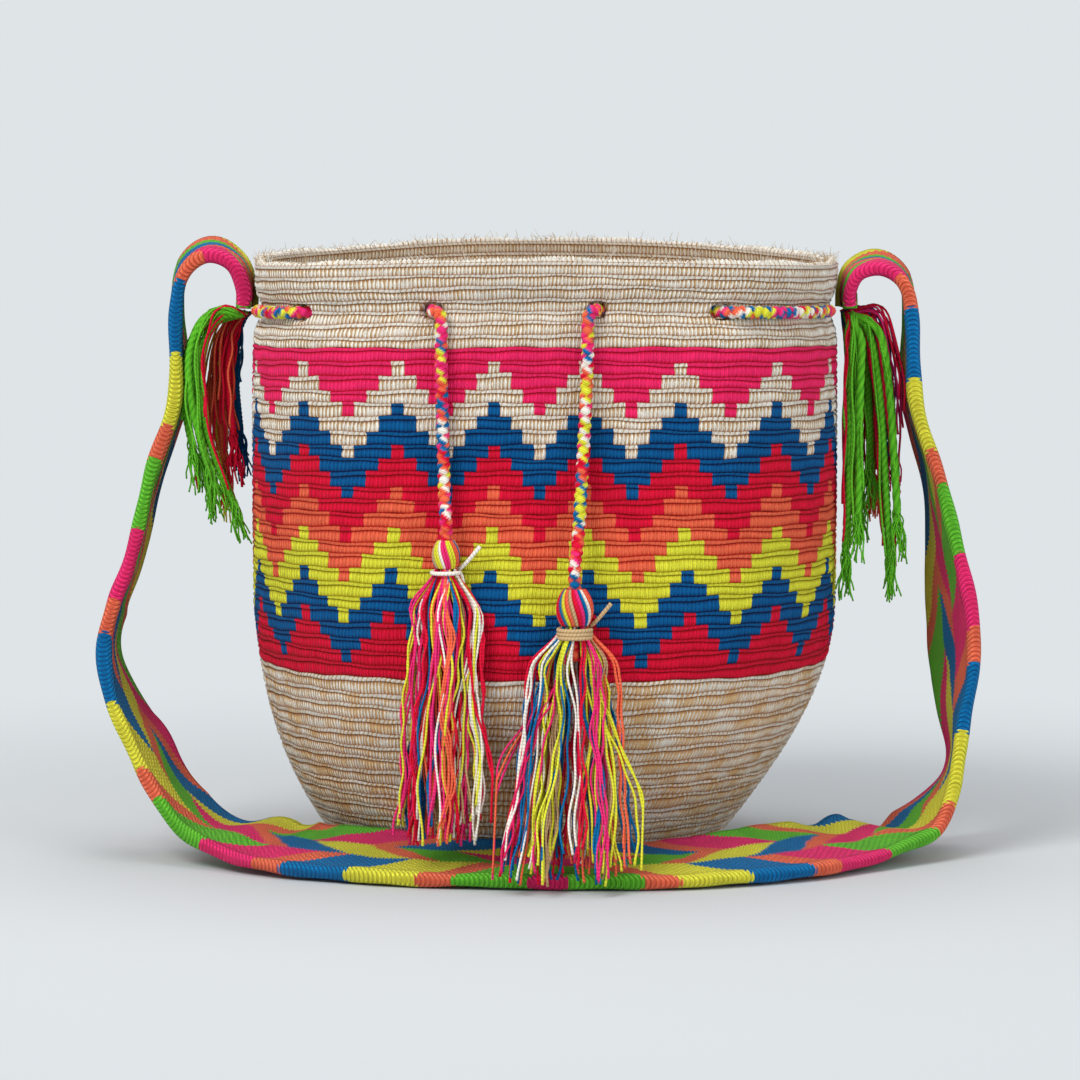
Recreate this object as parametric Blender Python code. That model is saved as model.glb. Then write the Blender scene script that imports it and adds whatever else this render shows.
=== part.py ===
"""Crochet bucket bag with one woven shoulder strap, a braided drawstring and two tassels.

Metres, +Z up, -Y towards the viewer. The origin is the middle of the base, on the floor.
"""

import math

import bmesh
import bpy
import numpy as np
from mathutils import Vector

# Bag body: a crocheted bucket, worked in rounds from the base up
belly_radius = 0.141        # half the width of the upright wall
foot_radius = 0.090         # where the curved wall would meet the floor
belly_height = 0.125        # height at which the wall stands upright
bag_height = 0.286          # front of the rim
base_round = 0.012          # round between the flat base and the wall
wall = 0.0042               # crochet over a carried yarn is a thick cloth
mouth_flatness = 0.84       # depth over width at the rim, where the strap pulls the sides
mouth_squareness = 2.8      # 2 is an ellipse, and more has fuller corners
squaring_start = 0.07       # height where the round body starts to turn into the flat mouth
squaring_end = 0.20
lean = 0.009                # the body leans this far to the right of its base
lean_height = 0.11
side_sag = 0.006            # the strap's weight draws the sides of the rim down
back_rise = 0.007           # and the back of the rim stands higher than the front
neck_depth = 0.004          # the drawstring pinches the wall in
neck_reach = 0.008
gather_depth = 0.002
gathers = 7
gather_phase = 0.6          # radians

# Rounds of crochet: the natural rim, the zigzag band and the natural lower wall
rim_depth = 0.039
band_depth = 0.154
rounds_rim = 7
rounds_band = 24
rounds_low = 16
round_relief = 0.0009
columns = 23                # facets round the bag
repeats = 18                # zigzags round the bag
zigzag_turn = -0.02         # radians from the front to the nearest low point of the zigzag
rounds_per_stripe = 3

# Drawstring and eyelets
cord_diameter = 0.0058
cord_drop = 0.022           # eyelets below the rim
eyelet_width = 0.0150
eyelet_height = 0.0088
left_eyelets = (-25.0, -53.0, -73.0, -115.0, -148.0)     # degrees from the front, left is negative
right_eyelets = (12.0, 38.0, 73.0, 115.0, 148.0)
pass_length = 0.0140        # stretch in which the drawstring crosses the wall
end_pass = 0.75             # share of half that stretch at the two ends that hang out in front
end_lay = 0.80              # and share of its lay outside that they have there
lay_gap = 0.0016            # between the drawstring and the facets it lies on
touch_gap = 0.0003          # between pieces that touch

# Strap: one woven band, thick at its two edges, from a sewn end on the bag's left side
# up and over, down to the floor, along the front of the bag and back up to its right side
strap_width = 0.056
strap_thickness = 0.0048
strap_edge = 0.0070
strap_end_drop = 0.024      # lower end of each sewn end, below the rim
strap_end_height = bag_height - strap_end_drop
strap_floor_gap = 0.0004
strap_rest_lean = 8.0       # degrees that it leans in front of the bag, back edge up on the foot
strap_steps = 2             # sections for each point of its route

# Fringe: the strap's warp ends hang from its sewn ends as twisted ropes
rope_diameter = 0.0046
rope_lanes = 8
seam_yarn = 0.0016
seam_stitches = 4
seam_top = 0.0070           # reach of the seam's stitches above the sewn end
seam_bottom = 0.0022

# Tassels: a wound head, a tie round its neck and a skirt of cut yarn
skirt_lobes = 9
skirt_neck = 0.03           # share of its length in which a skirt stays as narrow as its neck
skirt_stations = (0.0, skirt_neck, 0.09, 0.18, 0.30, 0.45, 0.60, 0.74, 0.88, 1.0)
skirt_bend = 0.45           # share of its length in which a skirt comes clear of the belly
skirt_clear = 0.0105        # from the belly to the middle of a skirt
tie_yarn = 0.0022

pink = (0.80, 0.035, 0.17)
red = (0.64, 0.010, 0.055)
orange = (0.86, 0.14, 0.055)
yellow = (0.76, 0.76, 0.035)
blue = (0.004, 0.10, 0.27)
green = (0.12, 0.42, 0.022)
natural = (0.50, 0.38, 0.25)
white = (0.78, 0.74, 0.68)


def clear_scene():
    for obj in list(bpy.data.objects):
        bpy.data.objects.remove(obj)


def yarn(name, colour):
    """A plain cotton yarn finish."""
    material = bpy.data.materials.new(name)
    material.use_nodes = True
    shader = material.node_tree.nodes["Principled BSDF"]
    shader.inputs["Base Color"].default_value = (*colour, 1.0)
    shader.inputs["Roughness"].default_value = 0.85
    shader.inputs["Metallic"].default_value = 0.0
    material.diffuse_color = (*colour, 1.0)
    return material


def smoothstep(low, high, value):
    share = np.clip((value - low) / (high - low), 0.0, 1.0)
    return share * share * (3 - 2 * share)


def wall_profile():
    """Arc length, radius and height along the wall, from the flat base to the rim."""
    slope = 2 * (belly_radius - foot_radius) / belly_height
    lean = math.atan(slope)
    turn = math.pi / 2 - lean
    tangent = base_round * math.tan(turn / 2)
    start = foot_radius - tangent
    angles = np.linspace(0, turn, 12)
    radius = [start + base_round * math.sin(a) for a in angles]
    height = [base_round * (1 - math.cos(a)) for a in angles]
    for z in np.linspace(height[-1], bag_height, 240)[1:]:
        radius.append(belly_radius - (belly_radius - foot_radius) * max(0.0, 1 - z / belly_height) ** 2)
        height.append(z)
    radius = np.array(radius)
    height = np.array(height)
    steps = np.hypot(np.diff(radius), np.diff(height))
    return np.concatenate([[0.0], np.cumsum(steps)]), radius, height


profile_length, profile_radius, profile_height = wall_profile()
wall_length = float(profile_length[-1])
cord_share = 1 - cord_drop / wall_length


def round_shares():
    """Where each round ends, as shares of the wall from the base up to the rim."""
    heights = (bag_height - rim_depth - band_depth, bag_height - rim_depth, bag_height)
    ends = np.interp(heights, profile_height, profile_length) / wall_length
    shares = [0.0]
    for start, end, count in zip((0.0, *ends), ends, (rounds_low, rounds_band, rounds_rim)):
        shares += [start + (end - start) * (i + 1) / count for i in range(count)]
    return shares


def wall_middle(angle, share):
    """A point of the outer wall: angle in radians from the front, share from the base up to the rim."""
    length = share * wall_length
    radius = np.interp(length, profile_length, profile_radius)
    height = np.interp(length, profile_length, profile_height)
    square = smoothstep(squaring_start, squaring_end, height)
    flat = 1 - (1 - mouth_flatness) * square
    power = 2 + (mouth_squareness - 2) * square
    across = (abs(math.sin(angle)) ** power + (abs(math.cos(angle)) / flat) ** power) ** (-1 / power)
    below_rim = (share - cord_share) * wall_length
    radius -= neck_depth * math.exp(-((below_rim / neck_reach) ** 2))
    radius += gather_depth * max(share, 0.0) ** 8 * math.cos(gathers * angle + gather_phase)
    shift = lean * smoothstep(0.0, lean_height, height)
    height += share ** 2 * (back_rise * (1 - math.cos(angle)) / 2 - side_sag * math.sin(angle) ** 2)
    return Vector((shift + radius * across * math.sin(angle), -radius * across * math.cos(angle), height))


def wall_point(angle, share, out=0.0):
    """The same point moved out from the wall along its normal; negative is into the bag."""
    middle = wall_middle(angle, share)
    if out == 0.0:
        return middle
    step = 1e-3
    high, low = min(share + step, 1.0), max(share - step, 0.0)
    up = wall_middle(angle, high) - wall_middle(angle, low)
    round_it = wall_middle(angle + step, share) - wall_middle(angle - step, share)
    return middle + round_it.cross(up).normalized() * out


def share_at(angle, height):
    """The share along the wall that lies at a height."""
    low, high = 0.0, 1.0
    for _ in range(40):
        middle = (low + high) / 2
        if wall_middle(angle, middle).z < height:
            low = middle
        else:
            high = middle
    return (low + high) / 2


def mesh_object(name, mesh_maker, materials):
    mesh = bpy.data.meshes.new(name)
    work = bmesh.new()
    mesh_maker(work)
    bmesh.ops.recalc_face_normals(work, faces=work.faces)
    work.to_mesh(mesh)
    work.free()
    for material in materials:
        mesh.materials.append(material)
    obj = bpy.data.objects.new(name, mesh)
    bpy.context.scene.collection.objects.link(obj)
    return obj


def loft(work, rings, paint=None):
    """Faces between closed rings of points, and a cap at each end. paint gives a face's material."""
    loops = [[work.verts.new(point) for point in ring] for ring in rings]
    count = len(loops[0])
    for i, (below, above) in enumerate(zip(loops, loops[1:])):
        for j in range(count):
            k = (j + 1) % count
            face = work.faces.new((below[j], below[k], above[k], above[j]))
            face.smooth = True
            face.material_index = paint(i, j) if paint else 0
    work.faces.new(reversed(loops[0]))
    work.faces.new(loops[-1])
    return loops


def zigzag_material():
    """The yarn colours of the body: natural below and above, zigzag stripes between."""
    material = yarn("body_yarns", natural)
    nodes, links = material.node_tree.nodes, material.node_tree.links
    place = nodes.new("ShaderNodeTexCoord")
    split = nodes.new("ShaderNodeSeparateXYZ")
    links.new(place.outputs["Object"], split.inputs[0])

    def calc(operation, *values):
        node = nodes.new("ShaderNodeMath")
        node.operation = operation
        for socket, value in zip(node.inputs, values):
            if isinstance(value, (int, float)):
                socket.default_value = value
            else:
                links.new(value, socket)
        return node.outputs[0]

    round_pitch = band_depth / rounds_band
    band_top = bag_height - rim_depth
    levels = rounds_per_stripe + 1
    forward = calc("MULTIPLY", split.outputs["Y"], -1.0)
    angle = calc("ARCTAN2", calc("SUBTRACT", split.outputs["X"], lean), forward)
    turn = calc("MULTIPLY", calc("SUBTRACT", angle, zigzag_turn), repeats * levels / math.pi)
    wave = calc("SUBTRACT", levels, calc("PINGPONG", turn, levels))
    depth = calc("SUBTRACT", band_top, split.outputs["Z"])
    rounds_down = calc("FLOOR", calc("DIVIDE", depth, round_pitch))
    stripe = calc("DIVIDE", calc("SUBTRACT", rounds_down, calc("FLOOR", wave)), rounds_per_stripe)
    below_top = calc("GREATER_THAN", rounds_down, -0.5)
    inside = calc("MULTIPLY", below_top, calc("LESS_THAN", rounds_down, rounds_band))
    ramp = nodes.new("ShaderNodeValToRGB")
    ramp.color_ramp.interpolation = "CONSTANT"
    stripes = (pink, natural, blue, red, orange, yellow, blue, red)
    for i, colour in enumerate(stripes):
        element = ramp.color_ramp.elements[i] if i < 2 else ramp.color_ramp.elements.new(1.0)
        element.position = i / len(stripes)
        element.color = (*colour, 1.0)
    links.new(calc("DIVIDE", calc("ADD", stripe, 1.0), len(stripes)), ramp.inputs[0])
    mix = nodes.new("ShaderNodeMix")
    mix.data_type = "RGBA"
    links.new(inside, mix.inputs["Factor"])
    mix.inputs["A"].default_value = (*natural, 1.0)
    links.new(ramp.outputs[0], mix.inputs["B"])
    links.new(mix.outputs["Result"], nodes["Principled BSDF"].inputs["Base Color"])
    return material


def body_rings():
    """Rings of points from the underside of the base, up the ridged wall, over the rim and down inside."""
    angles = [2 * math.pi * i / columns for i in range(columns)]
    rings = []
    shares = round_shares()
    rings.append([wall_point(a, 0.0) for a in angles])
    for low, high in zip(shares, shares[1:]):
        relief = round_relief if low else 0.0
        rings.append([wall_point(a, (low + high) / 2, relief) for a in angles])
        rings.append([wall_point(a, high) for a in angles])
    lift = Vector((0, 0, wall / 2))
    rings.append([wall_point(a, 1.0, -wall * 0.2) + lift * 0.8 for a in angles])
    rings.append([wall_point(a, 1.0, -wall * 0.8) + lift * 0.8 for a in angles])
    foot = profile_length[11] / wall_length
    pinch = 1.2 * neck_reach / wall_length
    inside = [1.0, cord_share + pinch, cord_share, cord_share - pinch]
    inside += list(np.linspace(cord_share - 3 * pinch, foot, 6))
    for share in inside:
        rings.append([wall_point(a, share, -wall) for a in angles])
    return rings


def make_eyelet_cutter():
    """One cutter for all eyelets: flattened round bars that stand across the wall."""
    sides = 12
    reach = 0.012

    def make(work):
        for degrees in left_eyelets + right_eyelets:
            angle = math.radians(degrees)
            centre = wall_point(angle, cord_share, -wall / 2)
            out = (wall_point(angle, cord_share, wall) - wall_point(angle, cord_share, 0)).normalized()
            along = Vector((0, 0, 1)).cross(out).normalized()
            up = out.cross(along)
            rings = []
            for shift in (-reach, reach):
                ring = []
                for i in range(sides):
                    turn = 2 * math.pi * (i + 0.5) / sides
                    ring.append(centre + out * shift + along * (eyelet_width / 2 * math.cos(turn))
                                + up * (eyelet_height / 2 * math.sin(turn)))
                rings.append(ring)
            loft(work, rings)

    cutter = mesh_object("eyelet_cutter", make, [])
    cutter.hide_render = True
    cutter.display_type = "WIRE"
    return cutter


def make_body():
    body = mesh_object("bag_body", lambda work: loft(work, body_rings()), [zigzag_material()])
    cut = body.modifiers.new("eyelets", "BOOLEAN")
    cut.object = make_eyelet_cutter()
    cut.operation = "DIFFERENCE"
    cut.solver = "EXACT"
    return body


def cord_object(name, points, diameter, material, radii=None, resolution=2):
    """A round cord as a curve through points, with a radius factor at each."""
    curve = bpy.data.curves.new(name, "CURVE")
    curve.dimensions = "3D"
    curve.bevel_depth = diameter / 2
    curve.bevel_resolution = resolution
    curve.use_fill_caps = True
    curve.twist_mode = "MINIMUM"
    spline = curve.splines.new("POLY")
    spline.points.add(len(points) - 1)
    for i, point in enumerate(points):
        spline.points[i].co = (*point, 1.0)
        spline.points[i].radius = radii[i] if radii else 1.0
    curve.materials.append(material)
    obj = bpy.data.objects.new(name, curve)
    bpy.context.scene.collection.objects.link(obj)
    return obj


def curve_through(points, steps):
    """A smooth curve through points, with so many steps between each two of them."""
    given = np.array([list(p) for p in points])
    padded = np.vstack([2 * given[0] - given[1], given, 2 * given[-1] - given[-2]])
    dense = []
    for i in range(1, len(padded) - 2):
        p0, p1, p2, p3 = padded[i - 1:i + 3]
        for t in np.linspace(0, 1, steps, endpoint=False):
            dense.append(0.5 * (2 * p1 + (p2 - p0) * t + (2 * p0 - 5 * p1 + 4 * p2 - p3) * t ** 2
                                + (3 * p1 - p0 - 3 * p2 + p3) * t ** 3))
    dense.append(given[-1])
    return np.array(dense)


def smooth_route(points, count):
    """Evenly spaced points on a smooth curve through the given ones."""
    dense = curve_through(points, 16)
    along = np.concatenate([[0.0], np.cumsum(np.linalg.norm(np.diff(dense, axis=0), axis=1))])
    at = np.linspace(0, along[-1], count)
    return [Vector([float(np.interp(s, along, dense[:, k])) for k in range(3)]) for s in at]


outside_lay = round_relief + touch_gap + cord_diameter / 2
inside_lay = -(wall + lay_gap + cord_diameter / 2)


def drawstring_route():
    """In and out through the eyelets, from the left front one round the back to the right front one."""
    order = [math.radians(d) for d in left_eyelets]
    order += [math.radians(d - 360) for d in reversed(right_eyelets)]
    half = pass_length / 2 / belly_radius
    points = []
    outside = True
    for i, angle in enumerate(order):
        first, last = i == 0, i == len(order) - 1
        before, after = (outside_lay, inside_lay) if outside else (inside_lay, outside_lay)
        middle = (before + after) / 2
        if first:
            points.append(wall_point(angle + half * end_pass, cord_share, outside_lay * end_lay))
        else:
            points.append(wall_point(angle + half, cord_share, before))
        points.append(wall_point(angle, cord_share, middle))
        if last:
            points.append(wall_point(angle - half * end_pass, cord_share, outside_lay * end_lay))
            break
        points.append(wall_point(angle - half, cord_share, after))
        gap = order[i + 1] - angle + 2 * half
        between = max(2, round(abs(gap) * belly_radius / (3.2 * cord_diameter)))
        for k in range(1, between):
            points.append(wall_point(angle - half + gap * k / between, cord_share, after))
        outside = not outside
    return points


def make_drawstring(material):
    return cord_object("drawstring", drawstring_route(), cord_diameter, material)


def sewn_plane(side):
    """x of the middle of the strap where it lies on the bag's side, and the height of the rim there."""
    heights = np.linspace(strap_end_height, bag_height, 12)
    angle = side * math.pi / 2
    reach = max(side * wall_point(angle, share_at(angle, z), round_relief).x for z in heights)
    return side * (reach + touch_gap + strap_edge / 2)


def strap_route():
    """Front edge of the strap as points (x, y, z, lean in degrees), hand placed round the bag.

    Beside the bag a point is given by its distance out from the sewn end, its height as a share
    of the bag's, how far forward it is and its lean. The lean turns the strap about its own
    length, so that its back edge moves to the inside of the loop.
    """
    half = strap_width / 2
    low_end = strap_end_height / bag_height
    left = [
        (0.0, low_end, half, 0), (0.0, 0.950, half, 0), (0.006, 0.990, half, -3),
        (0.018, 1.003, half, -7), (0.0285, 0.975, half, -6), (0.0325, 0.915, half, -3),
        (0.0332, 0.763, 0.034, 0), (0.0450, 0.633, 0.036, 0), (0.0541, 0.497, 0.041, 0),
        (0.0619, 0.425, 0.045, 1), (0.0668, 0.350, 0.049, 3), (0.0625, 0.261, 0.056, 10),
        (0.0531, 0.189, 0.063, 11.5), (0.0429, 0.125, 0.071, 12.5), (0.0276, 0.057, 0.083, 19),
    ]
    right = [
        (0.0, low_end, half, 0), (0.0, 0.944, half, 0), (0.005, 0.974, half, -3),
        (0.016, 0.980, half, -7), (0.026, 0.955, half, -6), (0.0300, 0.900, half, -2),
        (0.0315, 0.763, 0.034, 0.5), (0.0434, 0.629, 0.035, 2.5), (0.0536, 0.497, 0.039, 13.5),
        (0.0599, 0.389, 0.043, 18.5), (0.0596, 0.307, 0.046, 13.5), (0.0544, 0.234, 0.050, 2),
        (0.0517, 0.169, 0.054, -1), (0.0488, 0.105, 0.060, 14.5), (0.0403, 0.052, 0.070, 25),
    ]
    floor = strap_edge / 2 + strap_floor_gap
    rest = math.radians(strap_rest_lean)
    back_height = floor + strap_edge / 2 + strap_width * math.sin(rest)
    foot = float(np.interp(back_height, profile_height, profile_radius))
    front = foot + round_relief + 3 * touch_gap + strap_width * math.cos(rest)
    middle = [
        (-1.081, 0.0043, front - 0.0589, 17.5), (-0.969, 0.0016, front - 0.0449, 14.5),
        (-0.789, 0.0004, front - 0.0289, 13.5), (-0.45, 0.0, front - 0.0085, 11.5),
        (0.0, 0.0, front + 0.001, strap_rest_lean), (0.45, 0.0, front - 0.001, 9.5),
        (0.828, 0.0007, front - 0.0239, 11), (1.062, 0.0015, front - 0.0519, 12.5),
        (1.205, 0.0050, front - 0.0719, 14.5),
    ]
    points = []
    for out, share, forward, turn in left:
        points.append((sewn_plane(-1) - out, -forward, share * bag_height, turn))
    for across, up, forward, turn in middle:
        points.append((lean + across * belly_radius, -forward, floor + up, turn))
    for out, share, forward, turn in reversed(right):
        points.append((sewn_plane(1) + out, -forward, share * bag_height, turn))
    return points


def strap_sections():
    """Places along the strap: front edge, direction across the strap and its normal."""
    curve = curve_through(strap_route(), strap_steps)
    edge = [Vector(row[:3]) for row in curve]
    turns = curve[:, 3]
    sections = []
    for i, point in enumerate(edge):
        along = (edge[min(i + 1, len(edge) - 1)] - edge[max(i - 1, 0)]).normalized()
        inward = along.cross(Vector((0, 1, 0))).normalized()
        level = inward.cross(along).normalized()
        turn = math.radians(turns[i])
        across = level * math.cos(turn) + inward * math.sin(turn)
        sections.append((point, across, along.cross(across).normalized()))
    return sections


def make_strap(material):
    """A band lofted through its sections, fuller at both edges where the warps turn back."""
    profile = ((0.0, 0.35), (0.06, 1.0), (0.25, 0.0), (0.75, 0.0), (0.94, 1.0), (1.0, 0.35))

    def half_thickness(share, fullness):
        if share in (0.0, 1.0):
            return strap_edge / 2 * fullness
        return (strap_thickness + (strap_edge - strap_thickness) * fullness) / 2

    def make(work):
        rings = []
        for point, across, normal in strap_sections():
            upper = [point + across * (s * strap_width) + normal * half_thickness(s, f) for s, f in profile]
            lower = [point + across * (s * strap_width) - normal * half_thickness(s, f) for s, f in profile]
            rings.append(upper + lower[::-1])
        loft(work, rings)

    return mesh_object("shoulder_strap", make, [material])


def make_fringe(side, yarns):
    """Warp ends below a sewn end: each rope keeps its own lane across the strap.

    A rope is its colour, its lane, and points (out from the sewn plane, drop, forward).
    """
    name = "left" if side < 0 else "right"
    start = rope_diameter / 2 + touch_gap
    if side < 0:
        ropes = [
            ("green", 1, [(0.001, start, 0), (0.012, 0.005, 2), (0.0205, 0.020, 5), (0.0210, 0.042, 8),
                          (0.0150, 0.068, 9), (0.0065, 0.090, 10)]),
            ("green", 2, [(0.001, start, 0), (0.015, 0.008, 2), (0.0235, 0.026, 4), (0.0240, 0.050, 6),
                          (0.0180, 0.080, 7)]),
            ("red", 3, [(0.001, start, 0), (0.006, 0.012, 2), (0.0090, 0.034, 5), (0.0060, 0.062, 7)]),
            ("orange", 4, [(0.001, start, 0), (0.009, 0.014, 2), (0.0130, 0.040, 5), (0.0110, 0.074, 7)]),
            ("blue", 5, [(0.001, start, 0), (0.005, 0.014, 2), (0.0060, 0.036, 4), (0.0040, 0.060, 5)]),
            ("yellow", 6, [(0.001, start, 0), (0.012, 0.016, 2), (0.0165, 0.046, 4), (0.0120, 0.082, 5)]),
        ]
    else:
        ropes = [
            ("green", 1, [(0.001, start, 0), (0.001, 0.018, 5), (-0.0005, 0.050, 13), (-0.0010, 0.084, 17),
                          (-0.0025, 0.116, 19)]),
            ("green", 2, [(0.001, start, 0), (0.010, 0.012, 2), (0.0150, 0.042, 5), (0.0175, 0.080, 8),
                          (0.0200, 0.118, 9)]),
            ("pink", 3, [(0.001, start, 0), (0.013, 0.008, 2), (0.0200, 0.030, 4), (0.0220, 0.066, 6)]),
            ("green", 4, [(0.001, start, 0), (0.004, 0.020, 4), (0.0060, 0.055, 9), (0.0065, 0.090, 11)]),
            ("orange", 5, [(0.001, start, 0), (0.007, 0.016, 2), (0.0110, 0.046, 5), (0.0130, 0.080, 6)]),
            ("yellow", 6, [(0.001, start, 0), (0.003, 0.018, 2), (0.0040, 0.050, 5), (0.0050, 0.082, 6)]),
            ("blue", 7, [(0.001, start, 0), (0.014, 0.012, 2), (0.0180, 0.032, 3), (0.0190, 0.054, 3)]),
        ]
    lane = strap_width / rope_lanes
    counts = {}
    for colour, number, points in ropes:
        counts[colour] = counts.get(colour, 0) + 1
        route = []
        for out, drop, forward in points:
            x = sewn_plane(side) + side * out
            y = -strap_width / 2 + number * lane - forward * 0.001
            route.append(Vector((x, y, strap_end_height - drop)))
        dense = smooth_route(route, 7)
        cord_object(f"{name}_rope_{colour}_{counts[colour]}", dense, rope_diameter, yarns[colour])


def make_seam(side, material):
    """The yarn that sews a strap end to the bag, in a zigzag over the end."""
    name = "left" if side < 0 else "right"
    x = sewn_plane(side) + side * (strap_thickness / 2 + 2 * touch_gap + seam_yarn / 2)
    points = []
    steps = 2 * seam_stitches
    for i in range(steps + 1):
        y = strap_width * 0.46 * (i / steps - 0.5)
        z = strap_end_height + (seam_top if i % 2 else seam_bottom)
        points.append(Vector((x, y, z)))
    return cord_object(f"{name}_seam_yarn", points, seam_yarn, material)


def hang_start(degrees):
    """Where a drawstring end leaves its front eyelet."""
    half = pass_length / 2 / belly_radius
    turn = half * end_pass * (1 if degrees < 0 else -1)
    return wall_point(math.radians(degrees) + turn, cord_share, outside_lay * end_lay)


def rest_depth(x, z):
    """y of the bag's front at a place, with the relief of its rounds."""
    low, high = -1.2, 1.2
    for _ in range(30):
        middle = (low + high) / 2
        if wall_point(middle, share_at(middle, z)).x < x:
            low = middle
        else:
            high = middle
    return wall_point(low, share_at(low, z), round_relief).y


def hanging_route(degrees, sizes):
    """A drawstring end from its eyelet down the front of the bag to the tassel's head."""
    start = hang_start(degrees)
    points = [start + Vector((0, -neck_depth * 0.8, -cord_diameter * 0.5))]
    steps = 6
    for i in range(1, steps + 1):
        t = i / steps
        z = points[0].z + (sizes["top"] - points[0].z) * t
        x = points[0].x + (sizes["x"] - points[0].x) * (t ** 1.4)
        wall_y = min(rest_depth(x, z), rest_depth(x, z - sizes["head_length"] * t))
        clear = lay_gap + cord_diameter / 2 + (sizes["head_radius"] - cord_diameter / 2) * t * t
        points.append(Vector((x, wall_y - clear, z)))
    last = points.pop()
    return points + [last + Vector((0, 0, 1.8 * cord_diameter)), last]


def tassel_axis(top, length, bottom_shift):
    """Middle line of a tassel from its top: it hangs clear of the belly."""
    deepest = min(rest_depth(top.x, z) for z in np.linspace(belly_height * 0.7, top.z, 6))
    points = []
    for t in skirt_stations:
        share = min(1.0, t / skirt_bend)
        y = top.y + (deepest - skirt_clear - top.y) * share * share * (3 - 2 * share)
        y -= bottom_shift[1] * max(0.0, (t - skirt_bend) / (1 - skirt_bend)) ** 1.3
        points.append(Vector((top.x + bottom_shift[0] * t ** 1.3, y, top.z - length * t)))
    return points


def ring_at(axis_point, along, wide, deep, sides, lobes=0, lobe_depth=0.0, phase=0.0):
    """A ring across a direction near to straight down, wide along x and deep along y."""
    front = along.cross(Vector((1, 0, 0))).normalized()
    side = front.cross(along).normalized()
    ring = []
    for i in range(sides):
        turn = 2 * math.pi * i / sides
        grow = 1 + lobe_depth * math.cos(lobes * turn + phase)
        across = side * (wide * grow * math.cos(turn))
        ring.append(axis_point + across + front * (deep * grow * math.sin(turn)))
    return ring


def make_tassel(name, degrees, sizes, yarns):
    """A drawstring end with its tassel. sizes holds the real measures of this tassel."""
    cord = hanging_route(degrees, sizes)
    cord_object(f"{name}_cord_end", smooth_route(cord, 14), cord_diameter, yarns["pink"])
    down = Vector((0, 0, -1))
    head_top = cord[-1] + down * touch_gap
    length, radius = sizes["head_length"], sizes["head_radius"]

    def make_head(work):
        rings = []
        for t in np.linspace(0, 1, 7):
            size = radius * (0.45 + 0.55 * math.sin(math.pi * (0.08 + 0.80 * t)) ** 0.7)
            rings.append(ring_at(head_top + down * (length * t), down, size, size, 12, 6, 0.035))
        loft(work, rings)

    mesh_object(f"{name}_tassel_head", make_head, [yarns["yellow"]])
    neck = head_top + down * (length + touch_gap)
    axis = tassel_axis(neck, sizes["skirt_length"], sizes["shift"])
    neck_radius = sizes["neck_radius"]

    def make_skirt(work):
        rings = []
        for i, point in enumerate(axis):
            t = skirt_stations[i]
            along = (axis[min(i + 1, len(axis) - 1)] - axis[max(i - 1, 0)]).normalized() if i else down
            spread = max(0.0, (t - skirt_neck) / (1 - skirt_neck)) ** 0.8
            wide = neck_radius + (sizes["skirt_wide"] - neck_radius) * spread
            deep = neck_radius + (sizes["skirt_deep"] - neck_radius) * spread
            flute = 0.02 + 0.10 * min(1.0, 2 * t)
            rings.append(ring_at(point, along, wide, deep, 2 * skirt_lobes, skirt_lobes, flute))
        loft(work, rings)

    mesh_object(f"{name}_tassel_skirt", make_skirt, [yarns["orange"]])

    def make_tie(work):
        centre = neck + down * (tie_yarn / 2 + touch_gap)
        ring_radius = neck_radius * 1.03 + touch_gap + tie_yarn / 2
        loops = []
        for i in range(12):
            turn = 2 * math.pi * i / 12
            out = Vector((math.cos(turn), math.sin(turn), 0))
            ring = []
            for j in range(6):
                angle = 2 * math.pi * j / 6
                across = out * (tie_yarn / 2 * math.cos(angle)) + down * (tie_yarn / 2 * math.sin(angle))
                ring.append(work.verts.new(centre + out * ring_radius + across))
            loops.append(ring)
        for i in range(12):
            one, two = loops[i], loops[(i + 1) % 12]
            for j in range(6):
                k = (j + 1) % 6
                work.faces.new((one[j], one[k], two[k], two[j])).smooth = True

    mesh_object(f"{name}_tassel_tie", make_tie, [yarns["white"]])


left_tassel = {
    "x": -0.0364, "top": 0.1590, "head_length": 0.0130, "head_radius": 0.0064, "neck_radius": 0.0050,
    "skirt_length": 0.1260, "skirt_wide": 0.0210, "skirt_deep": 0.0110, "shift": (-0.003, 0.006),
}
right_tassel = {
    "x": 0.0227, "top": 0.1375, "head_length": 0.0168, "head_radius": 0.0085, "neck_radius": 0.0060,
    "skirt_length": 0.1150, "skirt_wide": 0.0300, "skirt_deep": 0.0105, "shift": (-0.004, 0.0275),
}

clear_scene()
colours = {"pink": pink, "red": red, "orange": orange, "yellow": yellow, "blue": blue}
colours.update(green=green, white=white)
yarns = {name: yarn(name + "_yarn", colour) for name, colour in colours.items()}
make_body()
make_drawstring(yarns["pink"])
make_strap(yarns["orange"])
for side in (-1, 1):
    make_fringe(side, yarns)
    make_seam(side, yarns["white"])
make_tassel("left", left_eyelets[0], left_tassel, yarns)
make_tassel("right", right_eyelets[0], right_tassel, yarns)
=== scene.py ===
# Crochet bucket bag with a woven strap, a braided drawstring and two tassels.
# Metres, +Z up, -Y towards the viewer. The origin is the middle of the base, on the floor.
import math

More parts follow.
